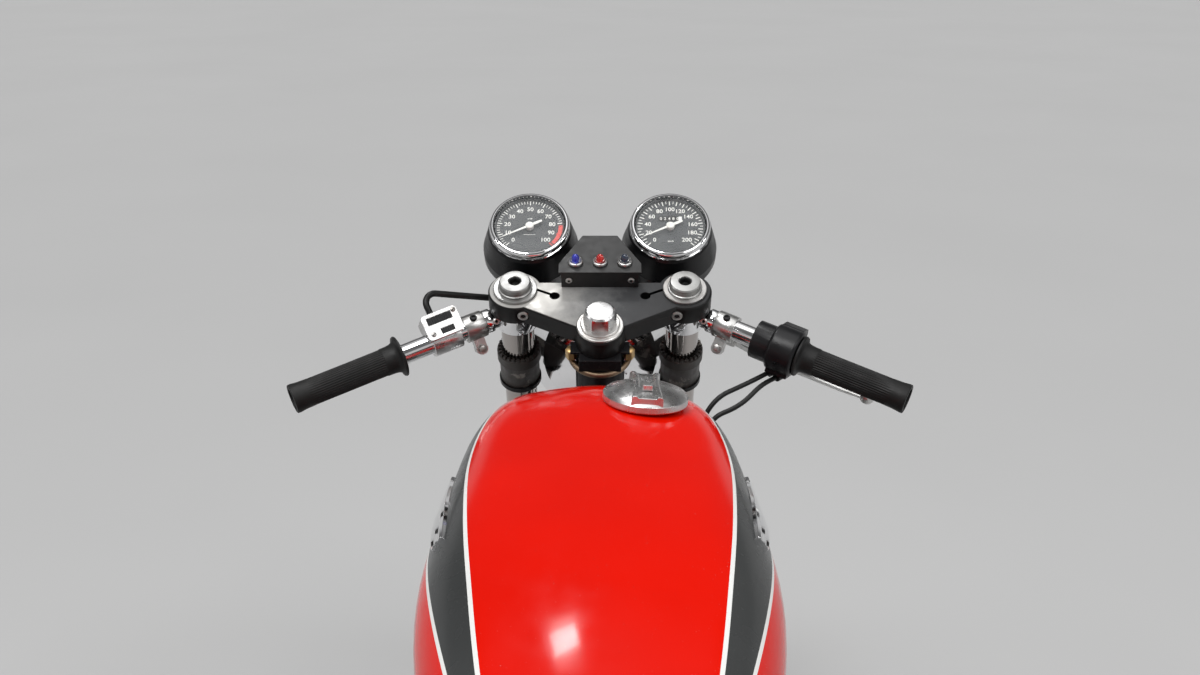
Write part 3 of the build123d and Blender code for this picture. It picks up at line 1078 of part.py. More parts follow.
def brake_plates():
    plates = []
    half = FRONT_DRUM_W / 2
    for side in (-1, 1):
        plate = turned([(AXLE_R + SEAT_GAP, half + 1.5), (FRONT_DRUM_R - 4, half + 1.5), (FRONT_DRUM_R - 8, half + 8),
                        (40, half + 14), (AXLE_R + SEAT_GAP, half + 17)])
        scoop = Pos(38, 62, half + 9) * Rot(0, 0, 30) * Box(54, 34, 14)
        place = FRONT_WHEEL * (Rot(0, 0, 0) if side > 0 else Rot(180, 0, 0))
        plates.append(place * (plate + scoop))
    keep("front_brake_plates", *plates)
    half = REAR_DRUM_W / 2
    plate = turned([(AXLE_R + SEAT_GAP, half + 1.5), (REAR_DRUM_R - 4, half + 1.5), (REAR_DRUM_R - 8, half + 8),
                    (34, half + 16), (AXLE_R + SEAT_GAP, half + 30)])
    keep("rear_brake_plate", REAR_WHEEL * plate)


# Centre stand
def centre_stand():
    legs = []
    for side in (-1, 1):
        y = side * STAND_HALF
        legs.append(rod((STAND_PIVOT_X, y, STAND_PIVOT_Z), (STAND_FOOT_X, y, 8), STAND_TUBE_R - 1))
        legs.append(Pos(STAND_FOOT_X, y, 0) * Box(70, 32, 12, align=MIN_END))
        legs.append(Pos(STAND_PIVOT_X, y, STAND_PIVOT_Z) * Rot(90, 0, 0) * Cylinder(STAND_TUBE_R + 4, 24))
    reach = STAND_HALF + 8
    axle = rod((STAND_PIVOT_X, -reach, STAND_PIVOT_Z), (STAND_PIVOT_X, reach, STAND_PIVOT_Z), STAND_TUBE_R)
    keep("centre_stand", axle.fuse(*legs))


def cables():
    """The lead of the switch box and the two throttle cables, one to each carburettor."""
    port = SWITCH * SWITCH_MIDDLE * Pos(0, -SWITCH_FACE_W / 2 - SEAT_GAP, 5)
    lead = tube([
        head_point(85, 38, TOP_YOKE_BASE - 37), head_point(86, 88, TOP_YOKE_BASE - 23),
        (port * Pos(0, -28, 0)).position, port.position], LEAD_R, [20, 12])
    keep("switch_lead", lead)
    reach = CARB_CHAMBER_H / 2 + SEAT_GAP
    ways = [
        # node, spout, corners between the throttle and the carburettor, side and lean of the carburettor
        ("throttle_cable_front", SPOUTS[0], [(345, -115, 820), (325, -82, 715)], 1, FRONT_LEAN),
        ("throttle_cable_rear", SPOUTS[1], [
            (335, -146, 818), (328, -113, 806), (316, -96, 700), (30, -92, 672)], -1, REAR_LEAN),
    ]
    for name, spout, corners, side, lean in ways:
        start = [mirrored(THROTTLE * spout * Pos(0, 0, along)) for along in (12 + SEAT_GAP, 34)]
        end = [carburettor_top(side, lean, reach + 34), carburettor_top(side, lean, reach)]
        keep(name, cable([*start, *corners, *end], CABLE_R))


def main():
    wheels()
    drive_chain()
    top_yoke()
    lower_yoke()
    stem_nut()
    fork_legs()
    headlamp_brackets()
    headlamp()
    clip_ons()
    grips()
    levers()
    switch_box()
    throttle_housing()
    dials()
    warning_panel()
    mudguards()
    frame()
    swingarm()
    shocks()
    engine()
    exhausts()
    tank()
    seat()
    side_covers()
    tail_lamp()
    footrests()
    brake_plates()
    centre_stand()
    cables()
    os.makedirs("parts", exist_ok=True)
    for name, solids in NODES.items():
        export_step(Compound(solids), f"parts/{name}.step")
    print(len(NODES), "nodes")


main()
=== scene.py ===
"""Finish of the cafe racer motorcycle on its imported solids: paint, chrome, dials, pad, tread and small parts.

Local shapes are written in millimetres, in the frame of the steering, a wheel or a bar. Every mesh ends up in
metres in the model's frame: +X forward, +Y to the rider's left, +Z up, with the origin on the floor.
"""
import cmath
import json
import math
from itertools import product

import bmesh
import bpy
import numpy as np
from mathutils import Matrix, Vector


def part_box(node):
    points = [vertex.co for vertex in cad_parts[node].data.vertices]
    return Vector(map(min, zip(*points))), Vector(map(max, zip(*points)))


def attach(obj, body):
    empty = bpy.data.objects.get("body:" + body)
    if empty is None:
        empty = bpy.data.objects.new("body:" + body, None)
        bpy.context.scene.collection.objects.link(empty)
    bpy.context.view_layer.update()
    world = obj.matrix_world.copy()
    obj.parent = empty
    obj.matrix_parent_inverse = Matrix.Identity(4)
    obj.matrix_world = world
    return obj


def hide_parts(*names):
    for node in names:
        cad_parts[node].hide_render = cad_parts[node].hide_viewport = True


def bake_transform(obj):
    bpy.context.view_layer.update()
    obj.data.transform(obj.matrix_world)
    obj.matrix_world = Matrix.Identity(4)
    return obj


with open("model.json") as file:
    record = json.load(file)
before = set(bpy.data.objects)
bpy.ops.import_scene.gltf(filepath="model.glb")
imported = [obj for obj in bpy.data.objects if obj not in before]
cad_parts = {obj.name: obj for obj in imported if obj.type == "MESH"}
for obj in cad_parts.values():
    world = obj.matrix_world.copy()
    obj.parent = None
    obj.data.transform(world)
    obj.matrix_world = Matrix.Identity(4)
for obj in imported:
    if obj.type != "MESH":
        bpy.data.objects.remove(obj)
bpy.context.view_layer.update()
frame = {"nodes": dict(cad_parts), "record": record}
NODES = frame["nodes"]
MM = 0.001
SIDES = ((1, "left"), (-1, "right"))

# Layout in millimetres, the same values as the solids have
RAKE = math.radians(27)
FORK_OFFSET = 55.0
FORK_HALF = 90.0
FRONT_R = 311.0
FRONT_TYRE_W = 86.0
FRONT_RIM_W = 60.0
REAR_R = 322.0
REAR_TYRE_W = 106.0
REAR_RIM_W = 72.0
REAR_LIFT = 25.0
WHEELBASE = 1390.0
TAIL_REACH = 352.0
YOKE_BASE = 665.0
YOKE_TOP = 687.0
BAR_HALF_SPAN = 314.0
BAR_SWEEP = math.radians(26.1)
BAR_FALL = math.radians(14.0)
BAR_AHEAD = 5.0
BAR_DROP = 11.6
GRIP_LENGTH = 121.0
SWITCH_GAP = 50.0
PERCH_GAP = 84.0


def place_at(origin, along, x_hint=(1, 0, 0)):
    """A place whose Z points along a direction and whose X is as near as it can be to a hint."""
    z = Vector(along).normalized()
    x = (Vector(x_hint) - z * z.dot(Vector(x_hint))).normalized()
    spot = Matrix((x, z.cross(x), z)).transposed().to_4x4()
    spot.translation = Vector(origin)
    return spot


def shift(x, y, z):
    return Matrix.Translation((x, y, z))


def turn(axis, degrees):
    return Matrix.Rotation(math.radians(degrees), 4, axis)


def sided(place, side):
    """The place itself on the left, its mirror image on the right."""
    return place if side > 0 else MIRROR @ place


FRONT_AXLE = Vector(((FRONT_R + WHEELBASE + TAIL_REACH) / 2 - FRONT_R, 0, FRONT_R))
REAR_AXLE = Vector((FRONT_AXLE.x - WHEELBASE, 0, REAR_R + REAR_LIFT))
HEAD_FORWARD = Vector((math.cos(RAKE), 0, math.sin(RAKE)))
HEAD_AXIS = Vector((-math.sin(RAKE), 0, math.cos(RAKE)))
STEER = place_at(FRONT_AXLE - HEAD_FORWARD * FORK_OFFSET, HEAD_AXIS, HEAD_FORWARD)
MIRROR = Matrix.Diagonal((1, -1, 1, 1))
BAR_ALONG = Vector((
    -math.sin(BAR_SWEEP) * math.cos(BAR_FALL), math.cos(BAR_SWEEP) * math.cos(BAR_FALL), -math.sin(BAR_FALL)))
BAR = place_at(STEER @ Vector((FORK_OFFSET + BAR_AHEAD, FORK_HALF, YOKE_BASE - BAR_DROP)), BAR_ALONG)
GRIP_START = (BAR_HALF_SPAN - FORK_HALF) / BAR_ALONG.y - GRIP_LENGTH
PERCH_AT = GRIP_START - PERCH_GAP
SWITCH = BAR @ shift(0, 0, GRIP_START - SWITCH_GAP) @ turn("Z", 28) @ shift(-8, -12, 0)

# Places in the steering frame, those beside the middle on its left
SEATED = 0.3
FORK_CAP = (FORK_OFFSET, FORK_HALF, YOKE_TOP + SEATED)
STEM_NUT = (0, 0, YOKE_TOP + SEATED)
PINCH_BOLT = (33.8, 81, YOKE_BASE + 11)
PANEL_SCREW = (59.1, 33, 697)
WARNING_LAMP = (74, 26, 708.8)
DIAL_RIM = (134, 77, 712)
STOP_BLOCK = (-22, 0, YOKE_BASE - 9)
STOP_PLATE = (-8, 0, YOKE_BASE - 1.8)
STOP_NUT = (-9, 30, YOKE_BASE - 14)
BARE_PATCH = (44, 64, YOKE_TOP)


def steered(spot, side=1):
    """A place in the steering frame, on its left, in its middle or on its right."""
    x, y, z = spot
    return STEER @ shift(x, side * y, z)


# Materials
def grey(level):
    return level, level, level


class Nodes:
    """A node tree, with short calls for the nodes that the finishes and the room use."""

    def __init__(self, owner, coordinates):
        owner.use_nodes = True
        self.tree = owner.node_tree
        self.tree.nodes.clear()
        self.where = self.add("ShaderNodeTexCoord").outputs[coordinates]

    def add(self, kind, **values):
        node = self.tree.nodes.new(kind)
        for key, value in values.items():
            setattr(node, key, value)
        return node

    def link(self, source, target):
        self.tree.links.new(source, target)

    def noise(self, scale, detail=3.0, roughness=0.5, stretch=None):
        node = self.add("ShaderNodeTexNoise")
        node.inputs["Scale"].default_value = scale
        node.inputs["Detail"].default_value = detail
        node.inputs["Roughness"].default_value = roughness
        source = self.where
        if stretch:
            mapping = self.add("ShaderNodeMapping")
            mapping.inputs["Scale"].default_value = stretch
            self.link(self.where, mapping.inputs["Vector"])
            source = mapping.outputs[0]
        self.link(source, node.inputs["Vector"])
        return node.outputs["Fac"]

    def ramp(self, source, stops):
        """A colour ramp of (position, colour) stops."""
        node = self.add("ShaderNodeValToRGB")
        elements = node.color_ramp.elements
        while len(elements) < len(stops):
            elements.new(0.5)
        for element, (position, colour) in zip(elements, stops):
            element.position = position
            element.color = (*colour, 1)
        self.link(source, node.inputs[0])
        return node.outputs[0]

    def remap(self, source, low, high, to_low, to_high, held=True):
        node = self.add("ShaderNodeMapRange", clamp=held)
        for key, value in (("From Min", low), ("From Max", high), ("To Min", to_low), ("To Max", to_high)):
            node.inputs[key].default_value = value
        self.link(source, node.inputs["Value"])
        return node.outputs["Result"]

    def mix(self, factor, a, b):
        """A mix of two colours, each a socket or a plain colour."""
        node = self.add("ShaderNodeMix", data_type="RGBA")
        for key, value in (("A_Color", a), ("B_Color", b)):
            socket = [s for s in node.inputs if s.identifier == key][0]
            if isinstance(value, tuple):
                socket.default_value = (*value, 1)
            else:
                self.link(value, socket)
        self.link(factor, [s for s in node.inputs if s.identifier == "Factor_Float"][0])
        return [s for s in node.outputs if s.identifier == "Result_Color"][0]

    def along(self, direction, origin=(0, 0, 0)):
        """How far a point lies along a direction from an origin, in metres."""
        node = self.add("ShaderNodeVectorMath", operation="DOT_PRODUCT")
        node.inputs[1].default_value = direction
        self.link(self.where, node.inputs[0])
        return self.sums("SUBTRACT", node.outputs["Value"], Vector(direction).dot(Vector(origin)))

    def away(self, point):
        """How far a point lies from another, in metres."""
        node = self.add("ShaderNodeVectorMath", operation="DISTANCE")
        node.inputs[1].default_value = point
        self.link(self.where, node.inputs[0])
        return node.outputs["Value"]

    def sums(self, operation, a, b):
        """A sum, product or other join of two values, each a socket or a plain number."""
        node = self.add("ShaderNodeMath", operation=operation)
        for socket, value in zip(node.inputs, (a, b)):
            if isinstance(value, (int, float)):
                socket.default_value = value
            else:
                self.link(value, socket)
        return node.outputs[0]


class Finish(Nodes):
    """One material with its shader."""

    def __init__(self, name):
        self.material = bpy.data.materials.new(name)
        super().__init__(self.material, "Object")
        self.shader = self.add("ShaderNodeBsdfPrincipled")
        output = self.add("ShaderNodeOutputMaterial")
        self.link(self.shader.outputs[0], output.inputs[0])

    def set(self, **values):
        for key, value in values.items():
            self.shader.inputs[key.replace("_", " ")].default_value = value

    def bump(self, source, strength, distance):
        node = self.add("ShaderNodeBump")
        node.inputs["Strength"].default_value = strength
        node.inputs["Distance"].default_value = distance
        self.link(source, node.inputs["Height"])
        if self.shader.inputs["Normal"].links:
            self.link(self.shader.inputs["Normal"].links[0].from_socket, node.inputs["Normal"])
        self.link(node.outputs[0], self.shader.inputs["Normal"])

    def colour(self, source):
        self.link(source, self.shader.inputs["Base Color"])

    def metal(self, source, most):
        """Bare metal, up to a share, where the source is 1."""
        self.link(self.remap(source, 0, 1, 0.0, most), self.shader.inputs["Metallic"])

    def roughness(self, source):
        self.link(source, self.shader.inputs["Roughness"])

    def gloss(self, ends, scale, detail, blur=0.5):
        """Roughness that wanders between two ends."""
        self.roughness(self.remap(self.noise(scale, detail, blur), 0.3, 0.7, *ends))


def painted(name, base, shade, gloss=(0.10, 0.18)):
    """Sprayed gloss paint: a slight cloud in the colour, dust specks and orange peel under a clear coat."""
    f = Finish(name)
    cloud = f.ramp(f.noise(7, 2), [(0.35, shade), (0.65, base)])
    dust = f.remap(f.noise(900, 2, 0.6), 0.74, 0.78, 0.0, 0.35)
    f.colour(f.mix(dust, cloud, (0.9, 0.9, 0.88)))
    f.gloss(gloss, 40, 4)
    f.set(Specular_IOR_Level=0.14, Coat_Weight=0.08, Coat_Roughness=0.03)
    f.bump(f.noise(260, 2), 0.02, 0.0004)
    return f.material


def chromed(name, tone, pits):
    """Bright plating with faint wipe marks and small pits."""
    f = Finish(name)
    wipe = f.noise(30, 4, 0.6, (1, 1, 5))
    f.roughness(f.remap(wipe, 0.35, 0.75, 0.03, 0.16))
    pit = f.remap(f.noise(700, 2, 0.7), 0.66, 0.74, 0.0, pits)
    f.colour(f.mix(pit, tone, (0.22, 0.17, 0.12)))
    f.set(Metallic=1.0)
    f.bump(f.noise(350, 3), 0.05, 0.0002)
    return f.material


def alloy(name, tone, dark, gloss, grain, depth):
    """Bare alloy, cast or brushed, with oxide cloud and grain."""
    f = Finish(name)
    f.colour(f.ramp(f.noise(22, 5, 0.65), [(0.3, dark), (0.62, tone)]))
    f.gloss(gloss, 90, 4, 0.6)
    f.set(Metallic=1.0)
    f.bump(f.noise(grain, 4, 0.6), depth, 0.0005)
    return f.material


def worn_black(name, base, worn, gloss, amount):
    """Satin black paint worn through to bare metal in patches."""
    f = Finish(name)
    patch = f.remap(f.noise(26, 6, 0.68), 0.72 - amount, 0.76 - amount, 0.0, 1.0)
    f.colour(f.mix(patch, f.ramp(f.noise(60, 4), [(0.3, base), (0.7, tuple(2.2 * c for c in base))]), worn))
    f.metal(patch, 0.85)
    f.gloss(gloss, 120, 4)
    f.bump(f.noise(600, 2), 0.12, 0.0003)
    return f.material


def yoke_paint(name):
    """Satin black, greyed over the top face as dust that brightens to a painted highlight towards the left, and
    worn down to bright metal beside the left fork cap.
    """
    f = Finish(name)
    height = f.along(HEAD_AXIS, STEER @ Vector((0, 0, YOKE_TOP - 0.6)) * MM)
    on_top = f.remap(height, 0.0, 0.0003, 0.0, 1.0)
    mottle = f.remap(f.noise(48, 6, 0.7), 0.3, 0.7, -1.0, 1.0)
    near = f.sums("ADD", f.away(STEER @ Vector(BARE_PATCH) * MM), f.sums("MULTIPLY", mottle, 0.010))
    bare = f.sums("MULTIPLY", f.remap(near, 0.014, 0.034, 1.0, 0.0), on_top)
    across = f.sums("ADD", f.along((0, 1, 0)), f.sums("MULTIPLY", mottle, 0.012))
    # The top face's colour across the bars: dust grey, brightening to a painted highlight towards the left
    # side.
    dust_and_highlight = f.ramp(f.remap(across, -0.08, 0.08, 0.0, 1.0), [
        (0.0, (0.022, 0.022, 0.023)), (0.35, (0.040, 0.041, 0.043)), (0.55, grey(0.13)),
        (0.85, (0.34, 0.335, 0.32))])
    black = f.ramp(f.noise(60, 4), [(0.3, grey(0.003)), (0.7, grey(0.008))])
    f.colour(f.mix(bare, f.mix(on_top, black, dust_and_highlight), (0.42, 0.41, 0.39)))
    f.metal(bare, 0.7)
    f.gloss((0.34, 0.5), 120, 4)
    f.set(Specular_IOR_Level=0.25)
    f.bump(f.noise(600, 2), 0.10, 0.0003)
    return f.material


def soft_black(name, base, dust, gloss, grain, depth):
    """Rubber or plastic: a matt black with pale dust in its grain."""
    f = Finish(name)
    f.colour(f.mix(f.remap(f.noise(18, 5, 0.6), 0.45, 0.85, 0.0, 0.6), base, dust))
    f.gloss(gloss, 70, 4)
    f.set(Specular_IOR_Level=0.3)
    f.bump(f.noise(grain, 3, 0.6), depth, 0.0006)
    return f.material


def hide(name):
    """Grained vinyl: small cells with soft creases."""
    f = Finish(name)
    f.colour(f.ramp(f.noise(14, 4), [(0.35, (0.012, 0.012, 0.013)), (0.7, (0.03, 0.029, 0.029))]))
    cells = f.add("ShaderNodeTexVoronoi", feature="DISTANCE_TO_EDGE")
    cells.inputs["Scale"].default_value = 650
    f.link(f.where, cells.inputs["Vector"])
    f.gloss((0.38, 0.55), 50, 3)
    f.bump(f.remap(cells.outputs["Distance"], 0.0, 0.12, 0.0, 1.0), 0.35, 0.0003)
    f.bump(f.noise(25, 3), 0.15, 0.002)
    return f.material


def clear(name):
    """Thin glass: mostly see-through, with a mirror share and faint smears."""
    f = Finish(name)
    f.set(Base_Color=(0.97, 0.98, 0.98, 1), Metallic=1.0)
    f.roughness(f.remap(f.noise(60, 3), 0.4, 0.8, 0.02, 0.07))
    f.link(f.remap(f.noise(35, 3), 0.35, 0.75, 0.025, 0.04), f.shader.inputs["Alpha"])
    return f.material


def lamp_glass(name, deep, bright):
    """Coloured lens: deep colour with a brighter core and a moulded ripple."""
    f = Finish(name)
    f.colour(f.ramp(f.noise(240, 2), [(0.3, deep), (0.7, bright)]))
    f.set(Coat_Weight=1.0, Coat_Roughness=0.02, Transmission_Weight=0.25, Roughness=0.12)
    f.bump(f.noise(500, 2), 0.08, 0.0003)
    return f.material


def printed(name, base, shade, gloss=(0.35, 0.5)):
    """Flat ink or enamel with a slight mottle."""
    f = Finish(name)
    f.colour(f.ramp(f.noise(300, 3), [(0.3, shade), (0.7, base)]))
    f.gloss(gloss, 90, 2)
    return f.material


FINISHES = [
    # name, how it is made, its two colours, ends of its roughness, grain and depth of the grain
    ("tank_red", painted, (0.72, 0.0065, 0.0008), (0.66, 0.0055, 0.0006)),
    ("band_grey", painted, (0.050, 0.052, 0.052), (0.036, 0.038, 0.038), (0.2, 0.32)),
    ("line_white", painted, (0.82, 0.82, 0.80), (0.74, 0.74, 0.72), (0.2, 0.3)),
    ("frame_black", painted, (0.014, 0.014, 0.015), (0.009, 0.009, 0.010), (0.2, 0.35)),
    ("yoke_black", yoke_paint),
    ("bracket_black", worn_black, grey(0.007), (0.12, 0.115, 0.11), (0.36, 0.55), 0.03),
    ("collar_grey", worn_black, (0.020, 0.017, 0.015), (0.22, 0.20, 0.18), (0.35, 0.6), 0.17),
    ("chrome", chromed, (0.86, 0.86, 0.87), 0.5),
    ("old_chrome", chromed, (0.42, 0.39, 0.37), 0.9),
    ("cap_chrome", alloy, grey(0.72), (0.46, 0.45, 0.44), (0.20, 0.38), 420, 0.12),
    ("polished_alloy", alloy, (0.62, 0.62, 0.61), (0.38, 0.37, 0.36), (0.24, 0.40), 500, 0.06),
    ("cap_alloy", alloy, (0.42, 0.42, 0.41), (0.24, 0.235, 0.23), (0.30, 0.48), 900, 0.15),
    ("satin_alloy", alloy, (0.66, 0.65, 0.63), (0.42, 0.40, 0.38), (0.28, 0.45), 700, 0.12),
    ("cast_alloy", alloy, (0.50, 0.50, 0.49), (0.30, 0.29, 0.28), (0.4, 0.6), 1100, 0.35),
    ("steel", alloy, (0.52, 0.51, 0.50), (0.26, 0.24, 0.22), (0.3, 0.5), 600, 0.15),
    ("chain_steel", alloy, (0.24, 0.22, 0.20), (0.09, 0.08, 0.07), (0.35, 0.6), 800, 0.2),
    ("brass", alloy, (0.72, 0.50, 0.24), (0.40, 0.25, 0.10), (0.25, 0.45), 700, 0.15),
    ("strap_brown", alloy, (0.30, 0.22, 0.15), (0.12, 0.08, 0.05), (0.35, 0.55), 500, 0.2),
    ("grip_rubber", soft_black, grey(0.006), (0.020, 0.019, 0.018), (0.42, 0.62), 900, 0.25),
    ("tyre_black", soft_black, grey(0.012), (0.04, 0.037, 0.034), (0.6, 0.85), 500, 0.25),
    ("cable_black", soft_black, grey(0.004), grey(0.010), (0.3, 0.5), 400, 0.05),
    ("black_plastic", soft_black, (0.005, 0.005, 0.006), grey(0.014), (0.26, 0.44), 1200, 0.1),
    # painted shade: near black for the depths of sockets, slots, hollow ends and the counter's window
    ("painted_shade_black", printed, grey(0.004), grey(0.002), (0.7, 0.9)),
    ("seat_vinyl", hide),
    ("dial_black", printed, (0.016, 0.022, 0.026), (0.010, 0.014, 0.016)),
    ("dial_white", printed, (0.86, 0.86, 0.82), (0.74, 0.74, 0.70)),
    ("dial_red", printed, (0.75, 0.06, 0.04), (0.60, 0.04, 0.03)),
    ("glass_clear", clear),
    ("lamp_red", lamp_glass, (0.45, 0.004, 0.004), (0.8, 0.02, 0.01)),
    ("lamp_blue", lamp_glass, (0.006, 0.010, 0.30), (0.02, 0.04, 0.70)),
    ("lamp_dark", lamp_glass, (0.008, 0.012, 0.03), (0.03, 0.05, 0.10)),
]
MATERIALS = {name: maker(name, *values) for name, maker, *values in FINISHES}


# Objects and modifiers
def linked(name, data):
    """A new object in the scene."""
    thing = bpy.data.objects.new(name, data)
    bpy.context.scene.collection.objects.link(thing)
    return thing


def modify(thing, kind, **settings):
    """Gives a thing a modifier, which is named after its kind."""
    modifier = thing.modifiers.new(kind, kind)
    for key, value in settings.items():
        setattr(modifier, key, value)
    return modifier


def apply_now(thing, kind, **settings):
    """Gives a thing a modifier and makes its result the mesh."""
    bpy.ops.object.select_all(action="DESELECT")
    bpy.context.view_layer.objects.active = thing
    thing.select_set(True)
    modify(thing, kind, **settings)
    bpy.ops.object.modifier_apply(modifier=kind)


def round_edges(thing, width, least_angle):
    """Rounds the edges sharper than an angle, by a width in millimetres."""
    modify(thing, "BEVEL", width=width * MM, segments=2, limit_method="ANGLE",
           angle_limit=math.radians(least_angle), harden_normals=True)


def cover(thing, material):
    """Gives a whole mesh one material."""
    thing.data.materials.clear()
    thing.data.materials.append(MATERIALS[material])


# Meshes in millimetres
class Piece:
    """Faces gathered in millimetres under one name, each with one of the piece's materials."""

    def __init__(self, name, *materials):
        self.name = name
        self.materials = materials
        self.points = []
        self.faces = []
        self.finish = []

    def add(self, shape, place=None, material=0):
        """Adds (points, faces), placed, with one material or one for each face."""
        points, faces = shape
        start = len(self.points)
        flip = place is not None and place.to_3x3().determinant() < 0
        self.points += [place @ Vector(p) if place else Vector(p) for p in points]
        for i, face in enumerate(faces):
            order = reversed(face) if flip else face
            self.faces.append([start + k for k in order])
            self.finish.append(material[i] if isinstance(material, list) else material)

    def make(self, body, slot, smooth=35, replaces=(), bevel=0.0):
        """Makes the object, shades it smooth below an angle, and hands it to its body. The slot is not used."""
        mesh = bpy.data.meshes.new(self.name)
        mesh.from_pydata([p * MM for p in self.points], [], self.faces)
        mesh.polygons.foreach_set("material_index", self.finish)
        for material in self.materials:
            mesh.materials.append(MATERIALS[material])
        work = bmesh.new()
        work.from_mesh(mesh)
        bmesh.ops.remove_doubles(work, verts=work.verts, dist=1e-6)
        bmesh.ops.recalc_face_normals(work, faces=work.faces)
        work.to_mesh(mesh)
        work.free()
        mesh.shade_smooth()
        mesh.set_sharp_from_angle(angle=math.radians(smooth))
        piece = linked(self.name, mesh)
        if bevel:
            round_edges(piece, bevel, 40)
        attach(piece, body)
        if replaces:
            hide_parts(*replaces)
        return piece


def on_circle(radius, degrees):
    angle = math.radians(degrees)
    return radius * math.cos(angle), radius * math.sin(angle)


def grid_faces(rows, columns, around=False, start=0):
    """Faces over points that are written row by row, closed around each row where asked."""
    faces = []
    for i in range(rows - 1):
        a = start + i * columns
        for k in range(columns if around else columns - 1):
            m = (k + 1) % columns
            faces.append([a + k, a + m, a + columns + m, a + columns + k])
    return faces


def end_faces(rows, columns):
    """The two faces that close the ends of such points."""
    return [list(range(columns))[::-1], [(rows - 1) * columns + k for k in range(columns)]]


def turned(outline, steps):
    """A shape turned about Z from (radius, height) points. Points on the axis close it."""
    points, faces, rings = [], [], []
    for radius, height in outline:
        count = steps if radius > 0 else 1
        rings.append([len(points) + i % count for i in range(steps)])
        points += [(*on_circle(radius, 360 * i / steps), height) for i in range(count)]
    for low, high in zip(rings, rings[1:]):
        for i in range(steps):
            k = (i + 1) % steps
            face = list(dict.fromkeys([low[i], low[k], high[k], high[i]]))
            if len(face) > 2:
                faces.append(face)
    return points, faces


def ring(outline, steps):
    """A closed outline of (radius, height) points turned about Z."""
    return turned(list(outline) + [outline[0]], steps)


def prism(outline, low, high):
    """A plate with a straight outline of (x, y) points between two heights."""
    n = len(outline)
    points = [(x, y, low) for x, y in outline] + [(x, y, high) for x, y in outline]
    faces = [list(range(n))[::-1], list(range(n, 2 * n))]
    faces += [[i, (i + 1) % n, n + (i + 1) % n, n + i] for i in range(n)]
    return points, faces


def block(length, width, height):
    """A box about the origin."""
    x, y = length / 2, width / 2
    return prism([(-x, -y), (x, -y), (x, y), (-x, y)], -height / 2, height / 2)


def polygon(radius, sides):
    return [on_circle(radius, 360 * i / sides) for i in range(sides)]


def disc(radius, low, high):
    return turned([(0, low), (radius, low), (radius, high), (0, high)], 32)


def swept(line, radius, steps):
    """A round tube along points, with rings that turn as little as they can."""
    points = []
    side = None
    for before, centre, after in zip(line[:1] + line, line, line[1:] + line[-1:]):
        along = (after - before).normalized()
        if side is None:
            side = along.orthogonal().normalized()
        side = (side - along * along.dot(side)).normalized()
        other = along.cross(side)
        for k in range(steps):
            x, y = on_circle(radius, 360 * k / steps)
            points.append(centre + side * x + other * y)
    return points, grid_faces(len(line), steps, True) + end_faces(len(line), steps)


def lettering(text, size, place):
    """Plain figures as a shape in millimetres, centred on a place."""
    curve = bpy.data.curves.new("figures", "FONT")
    curve.body = text
    curve.size = size
    curve.extrude = 0.15
    curve.resolution_u = 3
    curve.offset = 0.012 * size
    curve.align_x = "CENTER"
    curve.align_y = "CENTER"
    holder = bpy.data.objects.new("figures", curve)
    mesh = bpy.data.meshes.new_from_object(holder)
    points = [place @ v.co for v in mesh.vertices]
    faces = [list(p.vertices) for p in mesh.polygons]
    bpy.data.objects.remove(holder)
    bpy.data.meshes.remove(mesh)
    bpy.data.curves.remove(curve)
    return points, faces


# The tank's skin
TANK_ROWS = [
    # x, half width, height of the widest line, crown height, base height, half width of the base
    (-306.0, 90.0, 780.0, 821.0, 730.0, 80.0),
    (-200.0, 121.0, 790.0, 850.0, 722.0, 104.0),
    (-69.0, 146.0, 801.0, 874.0, 704.0, 114.0),
    (106.0, 140.0, 808.0, 888.0, 694.0, 108.0),
    (232.0, 119.0, 810.0, 882.0, 712.0, 88.0),
    (290.0, 89.0, 812.0, 857.0, 748.0, 64.0),
]
TUNNEL_HALF = 34.0
TUNNEL_TOP = 782.0
LINE_W = 3.4
UPPER_LINE = [
    # x, distance from the middle plane of the upper white line
    (-306.0, 66.0), (-231.0, 76.0), (-177.0, 85.0), (-109.0, 95.0), (-40.0, 104.0), (23.0, 110.0),
    (132.0, 112.0), (212.0, 98.0), (262.0, 82.0), (290.0, 66.0)]
BAND_W = [
    # x, width of the grey band measured over the skin
    (-306.0, 14.0), (-200.0, 19.0), (-150.0, 26.0), (-92.0, 34.0), (7.0, 46.0), (110.0, 58.0), (200.0, 58.0),
    (260.0, 48.0), (290.0, 40.0)]

# Steps over a rounded corner of the section, over its evened half, and the reach of the smoothing
CORNER_STEPS = 12
EVEN_STEPS = 240
SMOOTH_STEPS = 36
SMOOTH_REACH = 6.0


def spline(rows, x):
    """Values of a table at x, along a natural cubic curve through its rows."""
    table = np.array(rows, float)
    knots, values = table[:, 0], table[:, 1:]
    n = len(knots)
    gaps = np.diff(knots)
    system = np.zeros((n, n))
    known = np.zeros((n, values.shape[1]))
    system[0, 0] = system[-1, -1] = 1
    for i in range(1, n - 1):
        system[i, i - 1:i + 2] = gaps[i - 1], 2 * (gaps[i - 1] + gaps[i]), gaps[i]
        known[i] = 6 * ((values[i + 1] - values[i]) / gaps[i] - (values[i] - values[i - 1]) / gaps[i - 1])
    bend = np.linalg.solve(system, known)
    i = int(np.clip(np.searchsorted(knots, x) - 1, 0, n - 2))
    h, a, b = gaps[i], knots[i + 1] - x, x - knots[i]
    return (bend[i] * a ** 3 / (6 * h) + bend[i + 1] * b ** 3 / (6 * h)
            + (values[i] / h - bend[i] * h / 6) * a + (values[i + 1] / h - bend[i + 1] * h / 6) * b)


